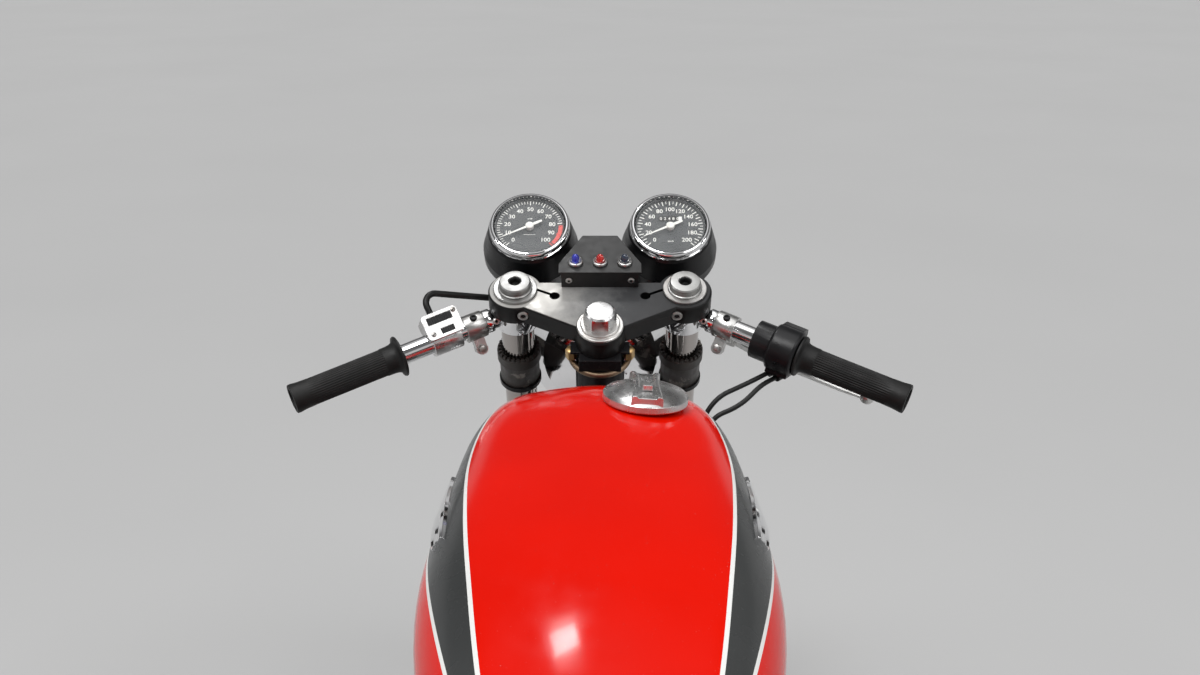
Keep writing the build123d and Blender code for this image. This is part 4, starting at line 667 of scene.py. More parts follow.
def tank_outline(x):
    """Half of the tank's skin at x, as smooth even (y, z) points from the crown to the tunnel's foot."""
    half, wide_z, top_z, base_z, base_half = spline(TANK_ROWS, x)
    shoulder_y, shoulder_z = half * 0.80, top_z - (top_z - wide_z) * 0.22
    corners = np.array([(-shoulder_y, shoulder_z), (0, top_z), (shoulder_y, shoulder_z), (half, wide_z),
                        (base_half, base_z), (TUNNEL_HALF, base_z)])
    fine = []
    for i, share in ((1, 0.45), (2, 0.45), (3, 0.45), (4, 0.2)):
        corner = corners[i]
        before, after = corners[i - 1] - corner, corners[i + 1] - corner
        cut = share * min(np.linalg.norm(before), np.linalg.norm(after))
        before, after = before / np.linalg.norm(before), after / np.linalg.norm(after)
        half_angle = math.acos(max(-1.0, min(1.0, float(before @ after)))) / 2
        radius = cut * math.tan(half_angle)
        inward = (before + after) / np.linalg.norm(before + after)
        centre = corner + inward * (cut / math.cos(half_angle))
        first = math.atan2(*(corner + before * cut - centre)[::-1])
        last = math.atan2(*(corner + after * cut - centre)[::-1])
        sweep = (last - first + math.pi) % (2 * math.pi) - math.pi
        for k in range(CORNER_STEPS + 1):
            angle = first + sweep * k / CORNER_STEPS
            fine.append(centre + radius * np.array([math.cos(angle), math.sin(angle)]))
    fine = np.array(fine + [corners[-1]])
    start = int(np.argmin(np.abs(fine[:CORNER_STEPS + 1, 0])))
    right = fine[start + 1:] * np.array([-1, 1])
    whole = np.concatenate([right[::-1], fine[start:start + 1] * np.array([0, 1]), fine[start + 1:]])
    steps = np.concatenate([[0], np.cumsum(np.linalg.norm(np.diff(whole, axis=0), axis=1))])
    even = np.linspace(0, steps[-1], 2 * EVEN_STEPS + 1)
    line = np.stack([np.interp(even, steps, whole[:, k]) for k in (0, 1)], 1)
    pitch = even[1] - even[0]
    weights = np.exp(-0.5 * (np.arange(-SMOOTH_STEPS, SMOOTH_STEPS + 1) * pitch / SMOOTH_REACH) ** 2)
    weights /= weights.sum()
    padded = [np.pad(line[:, k], SMOOTH_STEPS, mode="reflect", reflect_type="odd") for k in (0, 1)]
    half_line = np.stack([np.convolve(values, weights, "valid") for values in padded], 1)[EVEN_STEPS:]
    half_line[0, 0] = 0
    return half_line


def tank_columns(x):
    """Points down the left skin at x, the length between them, and where the band's four edges are."""
    line = tank_outline(x)
    run = np.concatenate([[0], np.cumsum(np.linalg.norm(np.diff(line, axis=0), axis=1))])
    upper_y = float(spline(UPPER_LINE, x)[0])
    crest = int(np.argmax(line[:, 0]))
    upper = float(np.interp(upper_y, line[:crest, 0], run[:crest]))
    lower = upper + float(spline(BAND_W, x)[0])
    return line, run, (upper - LINE_W, upper, lower, lower + LINE_W)


# Columns of the skin over crown, white line, grey band, white line and side, and the material of each
COLUMN_COUNTS = (22, 1, 12, 1, 26)
COLUMN_MATERIALS = (0, 1, 2, 1, 0)
TANK_FRONT = 290.0
TANK_REAR = -306.0
FRONT_ROUND = 26.0
REAR_ROUND = 12.0
TANK_STEPS = 74
END_LAYERS = 5


def tank_row(x, inset):
    """One row of the left skin, drawn in from the outside by an inset, and the tunnel's matching points."""
    line, run, edges = tank_columns(x)
    marks = (0.0, *edges, run[-1])
    stations = []
    for (low, high), count in zip(zip(marks, marks[1:]), COLUMN_COUNTS):
        stations += [low + (high - low) * i / count for i in range(count)]
    stations.append(run[-1])
    skin = np.stack([np.interp(stations, run, line[:, k]) for k in (0, 1)], 1)
    base_z = line[-1, 1]
    arc_z = TUNNEL_TOP - TUNNEL_HALF
    arc = TUNNEL_HALF * math.pi / 2
    inner_run = arc + max(0.0, arc_z - base_z)
    inner = []
    for s in np.array(stations) / run[-1] * inner_run:
        if s < arc:
            angle = s / TUNNEL_HALF
            inner.append((TUNNEL_HALF * math.sin(angle), arc_z + TUNNEL_HALF * math.cos(angle)))
        else:
            inner.append((TUNNEL_HALF, arc_z - (s - arc)))
    inner = np.array(inner)
    if inset:
        toward = inner - skin
        length = np.maximum(np.linalg.norm(toward, axis=1), 1e-6)
        skin = skin + toward * np.minimum(inset / length, 0.9)[:, None]
    return skin, inner


def rounded_end(radius, steps):
    """Rows over a rounded end: how far each lies from the very end, and how far it is drawn in."""
    angles = [math.pi / 2 * i / steps for i in range(steps + 1)]
    return [(radius * (1 - math.sin(a)), radius * (1 - math.cos(a))) for a in angles]


def fuel_tank():
    """The tank's painted skin, with its bands and lines as faces of their own colour."""
    piece = Piece("tank_skin", "tank_red", "line_white", "band_grey", "frame_black")
    start, reach = TANK_REAR + REAR_ROUND, TANK_FRONT - FRONT_ROUND - TANK_REAR - REAR_ROUND
    rows = [(TANK_REAR + x, inset) for x, inset in reversed(rounded_end(REAR_ROUND, 6))]
    rows += [(start + reach * i / TANK_STEPS, 0.0) for i in range(1, TANK_STEPS)]
    rows += [(TANK_FRONT - x, inset) for x, inset in rounded_end(FRONT_ROUND, 8)]
    bands = [band for band, count in zip(COLUMN_MATERIALS, COLUMN_COUNTS) for _ in range(count)]
    columns = len(bands) + 1
    grid = [tank_row(max(TANK_REAR + 0.01, min(TANK_FRONT - 0.01, x)), inset) for x, inset in rows]
    ends = [(rows[0][0], *grid[0]), (rows[-1][0], *grid[-1])]
    for side, _ in SIDES:
        points = [(x, side * y, z) for (x, _), (skin, _) in zip(rows, grid) for y, z in skin]
        faces = grid_faces(len(rows), columns)
        for x, skin, inner in ends:
            faces += grid_faces(END_LAYERS + 1, columns, start=len(points))
            for j in range(END_LAYERS + 1):
                share = j / END_LAYERS
                points += [(x, side * y, z) for y, z in skin * (1 - share) + inner * share]
        faces += grid_faces(2, columns, start=len(points))
        points += [(x, side * y, z) for x, _, inner in ends for y, z in inner]
        finish = bands * (len(rows) - 1 + 2 * END_LAYERS) + [3] * len(bands)
        piece.add((points, faces), None, finish)
    piece.make("chassis", "tank_red", smooth=50, replaces=["fuel_tank"])


def skin_point(x, down):
    """A point on the tank's left side, a length down from the crown over the skin."""
    line, run, _ = tank_columns(x)
    return np.array([x, *(np.interp(down, run, line[:, k]) for k in (0, 1))])


def skin_place(x, down, side):
    """A place on the tank's side: Z out of it, X forwards."""
    spot = skin_point(x, down)
    forward = Vector(skin_point(x + 6, down) - spot)
    out = forward.cross(Vector(skin_point(x, down + 2) - spot))
    return sided(place_at(spot, out if out.y > 0 else -out, forward), side)


def tank_badges():
    """A plain ribbed bar on each side of the tank, in place of the maker's sign."""
    rear, length, count = -28, 158, 24
    profile = [(-1.0, -1.0), (-0.96, 2.2), (-0.7, 3.6), (-0.35, 2.6), (0, 3.8), (0.35, 2.6), (0.7, 3.6),
               (0.96, 2.2), (1.0, -1.0)]
    for side, word in SIDES:
        points = []
        for i in range(count + 1):
            share = i / count
            x = rear + length * share
            edges = tank_columns(x)[2]
            width = 9.0 * math.sin(math.pi * min(1, 0.12 + share * 0.95)) ** 0.5 + 2
            spot = skin_place(x, edges[1] + (edges[2] - edges[1]) * 0.60, side)
            points += [spot @ Vector((0, width * a, h)) for a, h in profile]
        size = count + 1, len(profile)
        piece = Piece(f"tank_badge_{word}", "chrome")
        piece.add((points, grid_faces(*size) + end_faces(*size)))
        piece.make("chassis", "chrome", smooth=28, bevel=0.3)


CAP_SEAT = shift(178, -41, 884) @ turn("X", 4) @ turn("Y", 2)


def filler_cap():
    """The filler cap: a turned lid with a dished handle across it."""
    piece = Piece("filler_cap_chrome", "cap_chrome")
    piece.add(turned([(0, 0), (37.5, 0), (39, 1.5), (39, 7), (37.5, 9.0), (34, 10.6), (24, 14.5), (10, 17),
                      (0, 17.4)], 72), CAP_SEAT)
    half_length, count, foot = 36, 24, 6
    section = [(-1.0, -9.5), (-0.98, -1.0), (-0.86, 0.2), (-0.66, 0.2), (-0.55, -1.6), (0.55, -1.6),
               (0.66, 0.2), (0.86, 0.2), (0.98, -1.0), (1.0, -9.5)]
    points = []
    for i in range(count + 1):
        x = -half_length + 2 * half_length * i / count
        rise = 21.0 - 0.0036 * x * x
        half = 11.5 + 3.0 * (x / half_length) ** 2
        points += [(x, half * a, max(rise + h, foot)) for a, h in section]
    size = count + 1, len(section)
    piece.add((points, grid_faces(*size) + end_faces(*size)), CAP_SEAT)
    piece.add(block(11, 9, 5), CAP_SEAT @ shift(-18, 0, 20.5))
    piece.make("chassis", "chrome", smooth=30, replaces=["filler_cap"], bevel=0.5)


# Dials
DIAL = steered(DIAL_RIM) @ turn("Y", -11)
FACE = -6.48
FACE_R = 38.2
TICK_OUTER = 36.0
LONG_TICK = (30.6, 1.15)
SHORT_TICK = (32.6, 0.75)
RED_INNER = 31.6
RED_OUTER = 36.2
RED_END = 0.985
FIGURE_R = 24.8
FIGURE_SIZE = 7.4
SWEEP_START = 225.0
SWEEP = 270.0


def dial_angle(share):
    return SWEEP_START - SWEEP * share


def dial(word, place, step, ticks, long_every, reading, red_from):
    """A dial face: ticks, figures, a red zone, a needle with its hub, and a dished rim."""
    piece = Piece(f"dial_marks_{word}", "dial_white", "dial_red", "dial_black", "painted_shade_black")
    up = place @ turn("Z", -90)
    for i in range(ticks + 1):
        share = i / ticks
        inner, width = SHORT_TICK if i % long_every else LONG_TICK
        red = red_from is not None and share >= red_from
        spot = up @ turn("Z", dial_angle(share)) @ shift((inner + TICK_OUTER) / 2, 0, FACE + 0.1)
        piece.add(block(TICK_OUTER - inner, width, 0.2), spot, int(red))
    if red_from is not None:
        count = 20
        arc = [dial_angle(red_from + (RED_END - red_from) * i / count) for i in range(count + 1)]
        outline = [on_circle(RED_OUTER, a) for a in arc] + [on_circle(RED_INNER, a) for a in reversed(arc)]
        piece.add(prism(outline, FACE, FACE + 0.12), up, 1)
    for i in range(11):
        x, y = on_circle(FIGURE_R, dial_angle(i / 10))
        piece.add(lettering(str(step * i), FIGURE_SIZE, shift(x, y - 0.2, FACE + 0.1)), up)
    needle = [(33, 0.45), (4, 1.3), (-9, 1.7), (-15, 1.2)]
    needle = [(x, -y) for x, y in needle[:1]] + needle + [(x, -y) for x, y in reversed(needle[1:])]
    piece.add(prism(needle, 0, 0.5), up @ shift(0, 0, FACE + 3.0) @ turn("Z", dial_angle(reading)))
    hub = turned([(0, 0.0), (4.6, 0.0), (4.6, 4.2), (3.8, 5.0), (0, 5.2)], 32)
    piece.add(hub, up @ shift(0, 0, FACE - 0.4))
    lip = [(FACE_R, FACE + 0.2), (FACE_R, -3.4), (FACE_R - 0.6, -3.4), (FACE_R - 1.7, FACE + 0.2)]
    piece.add(ring(lip, 72), place, 2)
    return piece, up


def dials():
    """The rev counter on the left, the speedometer with its distance counter on the right, and both rims."""
    piece, up = dial("left", DIAL, 10, 50, 5, 0.065, 0.82)
    piece.add(lettering("x100", 2.6, shift(0, 11.5, FACE + 0.1)), up)
    piece.add(block(13, 0.4, 0.2), up @ shift(0, -10.5, FACE + 0.1))
    piece.make("steering", "dial_black", smooth=30)
    piece, up = dial("right", MIRROR @ DIAL @ MIRROR, 20, 40, 2, 0.068, None)
    piece.add(lettering("km/h", 3.2, shift(0, -19.5, FACE + 0.1)), up)
    # The counter's window: a sheet of painted shade behind its figures.
    piece.add(block(26, 7.2, 0.3), up @ shift(0, 11.5, FACE), 3)
    for i, figure in enumerate("02480"):
        piece.add(lettering(figure, 5.4, shift(-10 + 4.6 * i, 11.4, FACE + 0.2)), up)
    piece.add(block(3.6, 6.0, 0.2), up @ shift(11.2, 11.5, FACE + 0.2))
    piece.make("steering", "dial_black", smooth=30)
    for side, word in SIDES:
        place = sided(DIAL, side)
        rim = Piece(f"dial_rim_{word}", "chrome")
        rim.add(ring([(39.2, -8.5), (44.6, -8.5), (44.9, -6.4), (43.9, -5.8), (43.9, -3.0), (43.2, -1.2),
                      (41.8, -0.2), (40.4, 0.1), (39.2, -0.8), (38.9, -2.6)], 96), place)
        for i in range(24):
            rim.add(block(0.9, 4.6, 2.0), place @ turn("Z", 15 * i) @ shift(44.3, 0, -7.4))
        rim.make("steering", "chrome", smooth=40, replaces=["dial_bezels"])


def small_bolt(piece, place, radius, height, material=0, socket=1, hexagon=True):
    """A bolt head with a socket: a chamfered drum and a hexagon of painted shade let into it."""
    head = [(0, -1), (radius, -1), (radius, height - 0.8), (radius - 0.8, height), (radius * 0.55, height),
            (radius * 0.5, height - 1.4), (0, height - 1.4)]
    piece.add(turned(head, 28), place, material)
    if hexagon:
        piece.add(prism(polygon(radius * 0.5, 6), height - 1.5, height - 1.2), place, socket)


def hex_nut(piece, place, flats, height, material=0):
    """A nut with turned corners."""
    outline = polygon(flats / math.sqrt(3), 6)
    piece.add(prism(outline, 0, height), place, material)
    piece.add(turned([(0, height - 0.01), (flats / 2 - 0.3, height - 0.01), (flats / 2 - 1.2, height + 0.5),
                      (0, height + 0.5)], 24), place, material)


def yoke_parts():
    """Pinch bolts in the yoke's rear face, the panel's screws and the stem nut on its washer."""
    bolts = Piece("yoke_bolts", "satin_alloy", "painted_shade_black")
    screws = Piece("panel_screws", "satin_alloy", "painted_shade_black")
    for side in (-1, 1):
        small_bolt(bolts, steered(PINCH_BOLT, side) @ turn("Y", -90), 6.0, 8.5)
        spot = steered(PANEL_SCREW, side) @ turn("Y", -90)
        screws.add(turned([(0, 0), (3.6, 0), (3.6, 0.8), (2.6, 1.5), (0, 1.5)], 24), spot)
        # A dot of painted shade in the middle of each screw.
        screws.add(turned([(0, 1.5), (1.4, 1.5), (1.4, 1.6), (0, 1.6)], 16), spot, 1)
    bolts.make("steering", "steel", smooth=30)
    screws.make("steering", "steel", smooth=30)
    nut = Piece("stem_nut_chrome", "cap_chrome", "satin_alloy")
    base = steered(STEM_NUT)
    nut.add(turned([(0, 0), (24.3, 0), (24.3, 2.0), (23.4, 2.6), (21.0, 2.6), (20.5, 2.7), (20.5, 4.6),
                    (19.6, 5.4), (0, 5.4)], 64), base, 1)
    half_flats, steps = 15.0, 48
    corner = half_flats * 2 / math.sqrt(3)
    levels = [
        # height over the washer, radius that the corners are turned down to
        (0.0, corner - 0.2), (13.6, corner - 0.2), (16.5, half_flats + 0.6), (18.2, half_flats - 1.6),
        (18.7, half_flats - 4)]
    points = []
    for height, limit in levels:
        for k in range(steps):
            angle = 360 * k / steps
            across = math.radians((angle + 30) % 60 - 30)
            points.append((*on_circle(min(half_flats / math.cos(across), limit), angle), height + 4.6))
    size = len(levels), steps
    nut.add((points, grid_faces(*size, True) + end_faces(*size)[1:]), base)
    nut.make("steering", "chrome", smooth=24, replaces=["stem_nut"])


def fork_caps():
    """Turned caps on the fork tubes, each with a hexagon socket and a washer flange."""
    flange = [(0, 0), (23.4, 0), (23.4, 2.2), (22.7, 2.9), (17.4, 3.0), (17.2, 3.2), (0, 3.2)]
    cap = [(0, 3.1), (18.3, 3.1), (18.3, 4.4), (17.7, 4.9), (16.9, 5.0), (16.6, 5.4), (16.6, 11.2),
           (15.4, 12.6), (12.0, 13.0), (7.4, 13.0), (6.7, 12.4), (6.7, 6.0), (0, 6.0)]
    for side, word in SIDES:
        place = steered(FORK_CAP, side)
        piece = Piece(f"fork_cap_{word}", "cap_alloy", "steel", "painted_shade_black")
        piece.add(turned(flange, 64), place, int(side < 0))
        piece.add(turned(cap, 64), place)
        # The socket's hexagon walls and floor are painted shade.
        piece.add(ring([(6.9, 6.1), (6.9, 12.0), (5.9, 11.4), (5.9, 6.1)], 6), place, 2)
        piece.add(disc(5.9, 5.9, 6.2), place, 2)
        piece.make("steering", "polished_alloy", smooth=35, replaces=["fork_caps"])


def under_yoke():
    """The steering stop: a black block, two brass nuts and a bent strap round the headstock."""
    piece = Piece("steering_stop", "frame_black", "brass", "strap_brown")
    piece.add(block(12, 44, 16), steered(STOP_BLOCK))
    piece.add(block(16, 62, 3), steered(STOP_PLATE))
    strap_r, strap_z = 31, 646
    arc = [(*on_circle(strap_r, a), strap_z) for a in range(105, 256, 6)]
    start, end = ([(*at[:2], strap_z + 9), (*at[:2], strap_z + 4)] for at in (arc[0], arc[-1]))
    line = [STEER @ Vector(p) for p in start + arc + end[::-1]]
    piece.add(swept(line, 3.2, 14), None, 2)
    for side in (-1, 1):
        hex_nut(piece, steered(STOP_NUT, side) @ turn("Z", 30), 11, 11.5, 1)
    piece.make("steering", "steel", smooth=35, bevel=0.5)


def fork_collars():
    """A toothed rim above each lamp bracket's collar, and a dark band round its foot."""
    piece = Piece("collar_rims", "collar_grey", "frame_black")
    teeth = 26
    for side in (-1, 1):
        place = steered((FORK_OFFSET, FORK_HALF, 0), side)
        piece.add(ring([(22.05, 586), (24.2, 586), (24.2, 597.5), (23.4, 598.6), (19.0, 598.9), (19.0, 598.0),
                        (22.05, 597.9)], 64), place)
        for i in range(teeth):
            piece.add(block(3.4, 2.9, 3.4), place @ turn("Z", i * 360 / teeth) @ shift(21.6, 0, 600))
        piece.add(ring([(22.05, 550), (23.6, 550), (23.6, 556), (22.05, 556)], 64), place, 1)
    piece.make("steering", "yoke_black", smooth=30, bevel=0.4)


def warning_lamps():
    """Three coloured domes, each in its bright cup."""
    dome = [(0, 2.4), (4.3, 2.4), (4.4, 5.0), (4.2, 7.0), (3.6, 8.8), (2.4, 10.4), (1.0, 11.3), (0, 11.5)]
    bowl = [(4.5, 0.2), (8.0, 0.2), (8.0, 2.2), (7.4, 3.3), (6.4, 3.6), (5.6, 2.8), (4.6, 2.4)]
    for index, finish in ((1, "lamp_blue"), (0, "lamp_red"), (-1, "lamp_dark")):
        spot = steered(WARNING_LAMP, index)
        piece = Piece(f"warning_lamp_{index + 2}", finish)
        piece.add(turned(dome, 28), spot)
        piece.make("steering", finish if finish != "lamp_dark" else "lamp_blue", smooth=60,
                   replaces=["lamp_domes"])
        cup = Piece(f"warning_cup_{index + 2}", "polished_alloy")
        cup.add(ring(bowl, 40), spot)
        cup.make("steering", "chrome", smooth=50, replaces=["lamp_rings"])


# Bars
GRIP_PROFILE = [
    # radius, distance from the inner end, depth of the ribs
    (11.3, 0.2, 0), (20.5, 0.2, 0), (21.9, 1.0, 0), (22.0, 2.4, 0), (21.2, 3.6, 0), (18.2, 4.4, 0),
    (16.6, 6.0, 0), (15.5, 9.0, 0), (15.0, 14.0, 0), (14.9, 20.0, 0), (14.4, 21.0, 0.5), (14.3, 40.0, 0.55),
    (14.3, 60.0, 0.55), (14.3, 80.0, 0.55), (14.3, 100.0, 0.5), (14.6, 104.0, 0), (14.7, 109.0, 0),
    (15.0, 113.0, 0), (15.6, 117.5, 0), (15.4, 120.4, 0), (14.6, 120.9, 0), (11.6, 120.9, 0),
    (11.3, 110.0, 0)]


def grips():
    """Rubber grips with fine lengthwise ribs between a plain collar at each end."""
    steps = 144
    points = []
    for radius, height, depth in GRIP_PROFILE:
        for k in range(steps):
            groove = depth if k % 4 in (0, 1) else 0
            points.append((*on_circle(radius - groove, 360 * k / steps), height))
    for side, word in SIDES:
        place = sided(BAR @ shift(0, 0, GRIP_START), side)
        piece = Piece(f"grip_rubber_{word}", "grip_rubber", "painted_shade_black")
        piece.add((points, grid_faces(len(GRIP_PROFILE), steps, True)), place)
        # A disc of painted shade in the grip's open end.
        piece.add(disc(11.2, 108, 112), place, 1)
        piece.make("steering", "grip_rubber", smooth=32, replaces=["grips"])


def bar_fittings():
    """Screws on the switch box, its rockers, and the pinch bolts on the bars and lever clamps."""
    face = -12.0
    rockers = Piece("switch_rockers", "black_plastic")
    for y, z, width, length, ribs in ((-6, 1, 7.6, 27, 10), (8, -3, 5.8, 14.2, 6)):
        rockers.add(block(1.6, width, length), SWITCH @ shift(face + 1.7, y, z))
        pitch = length / ribs
        for i in range(ribs):
            at = z - length / 2 + (i + 0.5) * pitch
            rockers.add(block(0.9, width - 1.0, pitch * 0.45), SWITCH @ shift(face + 0.7, y, at))
    rockers.make("steering", "black_plastic", smooth=30)
    screws = Piece("switch_screws", "steel", "painted_shade_black")
    for y, z in ((8.5, 13.5), (-9.5, -16.2)):
        spot = SWITCH @ shift(face + 0.1, y, z) @ turn("Y", -90)
        screws.add(turned([(0, 0), (2.7, 0), (2.7, 0.5), (1.8, 1.1), (0, 1.3)], 20), spot)
        # Each screw's slot is a strip of painted shade.
        screws.add(block(4.2, 0.7, 0.3), spot @ shift(0, 0, 1.25) @ turn("Z", 30), 1)
    screws.make("steering", "steel", smooth=30)
    fittings = Piece("bar_bolts", "satin_alloy", "painted_shade_black", "black_plastic", "steel")
    for (side, _), lug_turn in zip(SIDES, (97, 106)):
        bar = sided(BAR, side)
        small_bolt(fittings, bar @ shift(-9, 0, 30) @ turn("Y", -90) @ turn("Z", 20), 3.6, 5.5)
        plug = bar @ turn("Z", -130) @ shift(14.5, 0, PERCH_AT) @ turn("Y", 90)
        small_bolt(fittings, plug, 3.8, 3.0, 2, 1, False)
        lug = bar @ shift(0, 0, PERCH_AT) @ turn("Z", lug_turn)
        hex_nut(fittings, lug @ shift(25, 4.6, 0) @ turn("X", -90), 8, 4, 3)
        hex_nut(fittings, lug @ shift(25, -4.6, 0) @ turn("X", 90), 8, 4, 3)
    fittings.make("steering", "steel", smooth=30)


def seat_hump():
    """The seat's tail with every crease of the solid drawn out into a soft moulded form."""
    hump = linked("seat_hump", NODES["seat_tail"].data.copy())
    hump.matrix_world = NODES["seat_tail"].matrix_world
    apply_now(hump, "REMESH", mode="VOXEL", voxel_size=0.004)
    apply_now(hump, "SMOOTH", factor=0.9, iterations=70)
    cover(hump, "tank_red")
    hump.data.shade_smooth()
    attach(hump, "chassis")
    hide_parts("seat_tail")


# Engine covers: how far out each face lies, and the places in x and z that their screws follow
RIGHT_FACE = -88.4
RIGHT_MIDDLE = (45, 332)
RIGHT_EDGE = [(186, 268), (196, 346), (164, 398), (80, 406), (-20, 404), (-92, 390), (-112, 330), (-80, 262),
              (60, 240)]
EDGE_INSET = 20
LEFT_FACE = 96.1
LEFT_SCREWS = [(-136, 352), (-122, 410), (-52, 414), (-70, 312)]
ROUND_FACE = 91.6
ROUND_MIDDLE = (104, 342)
ROUND_R = 54


def engine_screws():
    """Screws round the engine's side covers."""
    screws = Piece("engine_screws", "steel", "painted_shade_black")
    for edge in RIGHT_EDGE:
        spot = Vector(edge) + (Vector(RIGHT_MIDDLE) - Vector(edge)).normalized() * EDGE_INSET
        small_bolt(screws, place_at((spot.x, RIGHT_FACE, spot.y), (0, -1, 0)), 5.2, 4.0)
    for k in range(5):
        x, z = on_circle(ROUND_R, 90 + 72 * k)
        spot = (ROUND_MIDDLE[0] + x, ROUND_FACE, ROUND_MIDDLE[1] + z)
        small_bolt(screws, place_at(spot, (0, 1, 0)), 5.0, 3.6)
    for x, z in LEFT_SCREWS:
        small_bolt(screws, place_at((x, LEFT_FACE, z), (0, 1, 0)), 4.6, 3.6)
    screws.make("chassis", "steel", smooth=30)


# Wheels: radius of the tyre's seat and of the rim's edge, steps over the crown and round one zigzag
SEAT_R = 222.3
OVER_R = 233.3
CROWN_STEPS = 84
ZIGZAGS = 72
ZIGZAG_STEPS = 6
GROOVES = [
    # distance from the middle, half width, depth, side shift of its zigzag
    (0.0, 1.6, 2.6, 1.2), (13.0, 1.5, 2.6, 1.6), (-13.0, 1.5, 2.6, 1.6), (25.0, 1.4, 2.4, 1.6),
    (-25.0, 1.4, 2.4, 1.6)]


def arc_through(start, middle, end, count):
    """Even points on the arc through three points in a plane."""
    a, b, c = (complex(*point) for point in (start, middle, end))
    ratio = (c - a) / (b - a)
    centre = a + (b - a) * (ratio - abs(ratio) ** 2) / (2j * ratio.imag)
    first, mid, last = (cmath.phase(point - centre) for point in (a, b, c))
    sweep = (last - first) % math.tau
    if (mid - first) % math.tau > sweep:
        sweep -= math.tau
    arc = [centre + cmath.rect(abs(a - centre), first + sweep * i / count) for i in range(count + 1)]
    return [(point.real, point.imag) for point in arc]


def tyre(name, body, axle, outer, width, rim_width):
    """A tyre with a grooved crown, siped shoulders and ribs on its side walls."""
    half, bead, lip = width / 2, rim_width / 2 - 5.3, rim_width / 2 + 2
    side_r = (outer + SEAT_R) / 2 + 2
    bulge = ((OVER_R + side_r) / 2 - 4, (half + lip) / 1.88)
    wall = [(SEAT_R, bead), (OVER_R, bead + 1)] + arc_through((OVER_R, lip), bulge, (side_r, half), 8)[:-1]
    crown = arc_through((side_r, half), (outer, 0), (side_r, -half), CROWN_STEPS)
    outline = wall + crown + [(r, -y) for r, y in reversed(wall)]
    steps = ZIGZAGS * ZIGZAG_STEPS
    points = []
    for i in range(steps):
        wave = abs((i / ZIGZAG_STEPS) % 1 - 0.5) * 4 - 1
        for k, (r, y) in enumerate(outline):
            depth = 0.0
            if 0 < k - len(wall) < CROWN_STEPS:
                cuts = [deep for at, reach, deep, sway in GROOVES if abs(y - at - sway * wave) < reach]
                if i % ZIGZAG_STEPS == 0 and 16 < abs(y) < half * 0.86:
                    cuts.append(1.8)
                if abs(y) > half * 0.93 and k % 2:
                    cuts.append(0.8)
                depth = max(cuts, default=0.0)
            points.append((*on_circle(r - depth, 360 * i / steps), y))
    faces = [[v % len(points) for v in face] for face in grid_faces(steps + 1, len(outline), True)]
    piece = Piece(f"{name}_tread", "tyre_black")
    piece.add((points, faces), place_at(axle, (0, -1, 0)))
    piece.make(body, "tyre_black", smooth=28, replaces=[name])


# Pad: cells along, across and up, how far a point may swell in metres, and the pleats
PAD_CELLS = (30, 18, 7)
SWELL_CAP = 0.010
PLEATS = 9
PLEAT_START = 0.12
PLEAT_END = 0.93
PLEAT_HALF = 0.088
PLEAT_DEPTH = 0.0045


def box_cells(nx, ny, nz):
    """The outside faces of a box of cells, each as four (i, j, k) corners."""
    faces = []
    for i, j in product(range(nx), range(ny)):
        faces += [[(i, j, k), (i, j + 1, k), (i + 1, j + 1, k), (i + 1, j, k)] for k in (0, nz)]
    for i, k in product(range(nx), range(nz)):
        faces += [[(i, j, k), (i + 1, j, k), (i + 1, j, k + 1), (i, j, k + 1)] for j in (0, ny)]
    for j, k in product(range(ny), range(nz)):
        faces += [[(i, j, k), (i, j, k + 1), (i, j + 1, k + 1), (i, j + 1, k)] for i in (0, nx)]
    return faces


def pad_point(u, v, w, low, high):
    """A point of the pad at shares of its length, width and height: narrower in front, higher at the back."""
    inset = 6.0
    x = low.x + inset + (high.x - low.x - 2 * inset) * u
    narrow = 1.0 - 0.20 * max(0.0, (u - 0.35) / 0.65) ** 1.6
    y = (v * 2 - 1) * (high.y - 7) * narrow
    top = high.z - 20 - 14 * math.sin(math.pi * min(1, u * 1.02)) ** 0.8 * 0.6
    top += 12 * max(0.0, 0.2 - u) / 0.2
    return x, y, low.z + 0.5 + (top - low.z) * w


def held_in(value, low, high):
    return min(max(value, low), high)


def seat_pad():
    """The seat pad: swelled by a short cloth run, with cross pleats pressed in afterwards."""
    low, high = (v * 1000 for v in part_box("seat_pad"))
    piece = Piece("seat_cushion", "seat_vinyl")
    faces = box_cells(*PAD_CELLS)
    index = {cell: i for i, cell in enumerate(dict.fromkeys(cell for face in faces for cell in face))}
    points = [pad_point(*(at / count for at, count in zip(cell, PAD_CELLS)), low, high) for cell in index]
    piece.add((points, [[index[cell] for cell in face] for face in faces]))
    cushion = piece.make("chassis", "seat_vinyl", smooth=80, replaces=["seat_pad"])
    cushion.parent = None
    inflate(cushion, low.z * MM + 0.0015)
    for vertex in cushion.data.vertices:
        x, y, z = vertex.co
        share = (x / MM - low.x) / (high.x - low.x)
        lift = (z / MM - low.z) / (high.z - low.z)
        if lift > 0.45 and PLEAT_START < share < PLEAT_END and abs(y) < PLEAT_HALF:
            pleat = abs(((share - PLEAT_START) / (PLEAT_END - PLEAT_START) * PLEATS) % 1 - 0.5) * 2
            fade = min(1, (PLEAT_HALF - abs(y)) / 0.012)
            z -= PLEAT_DEPTH * max(0.0, pleat - 0.72) / 0.28 * fade
        vertex.co.z = max(z, low.z * MM + 0.0004)
        vertex.co.x = held_in(x, low.x * MM + 0.0004, high.x * MM - 0.0002)
        vertex.co.y = held_in(y, -high.y * MM + 0.0002, high.y * MM - 0.0002)
    modify(cushion, "SUBSURF", levels=1, render_levels=1)
    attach(cushion, "chassis")


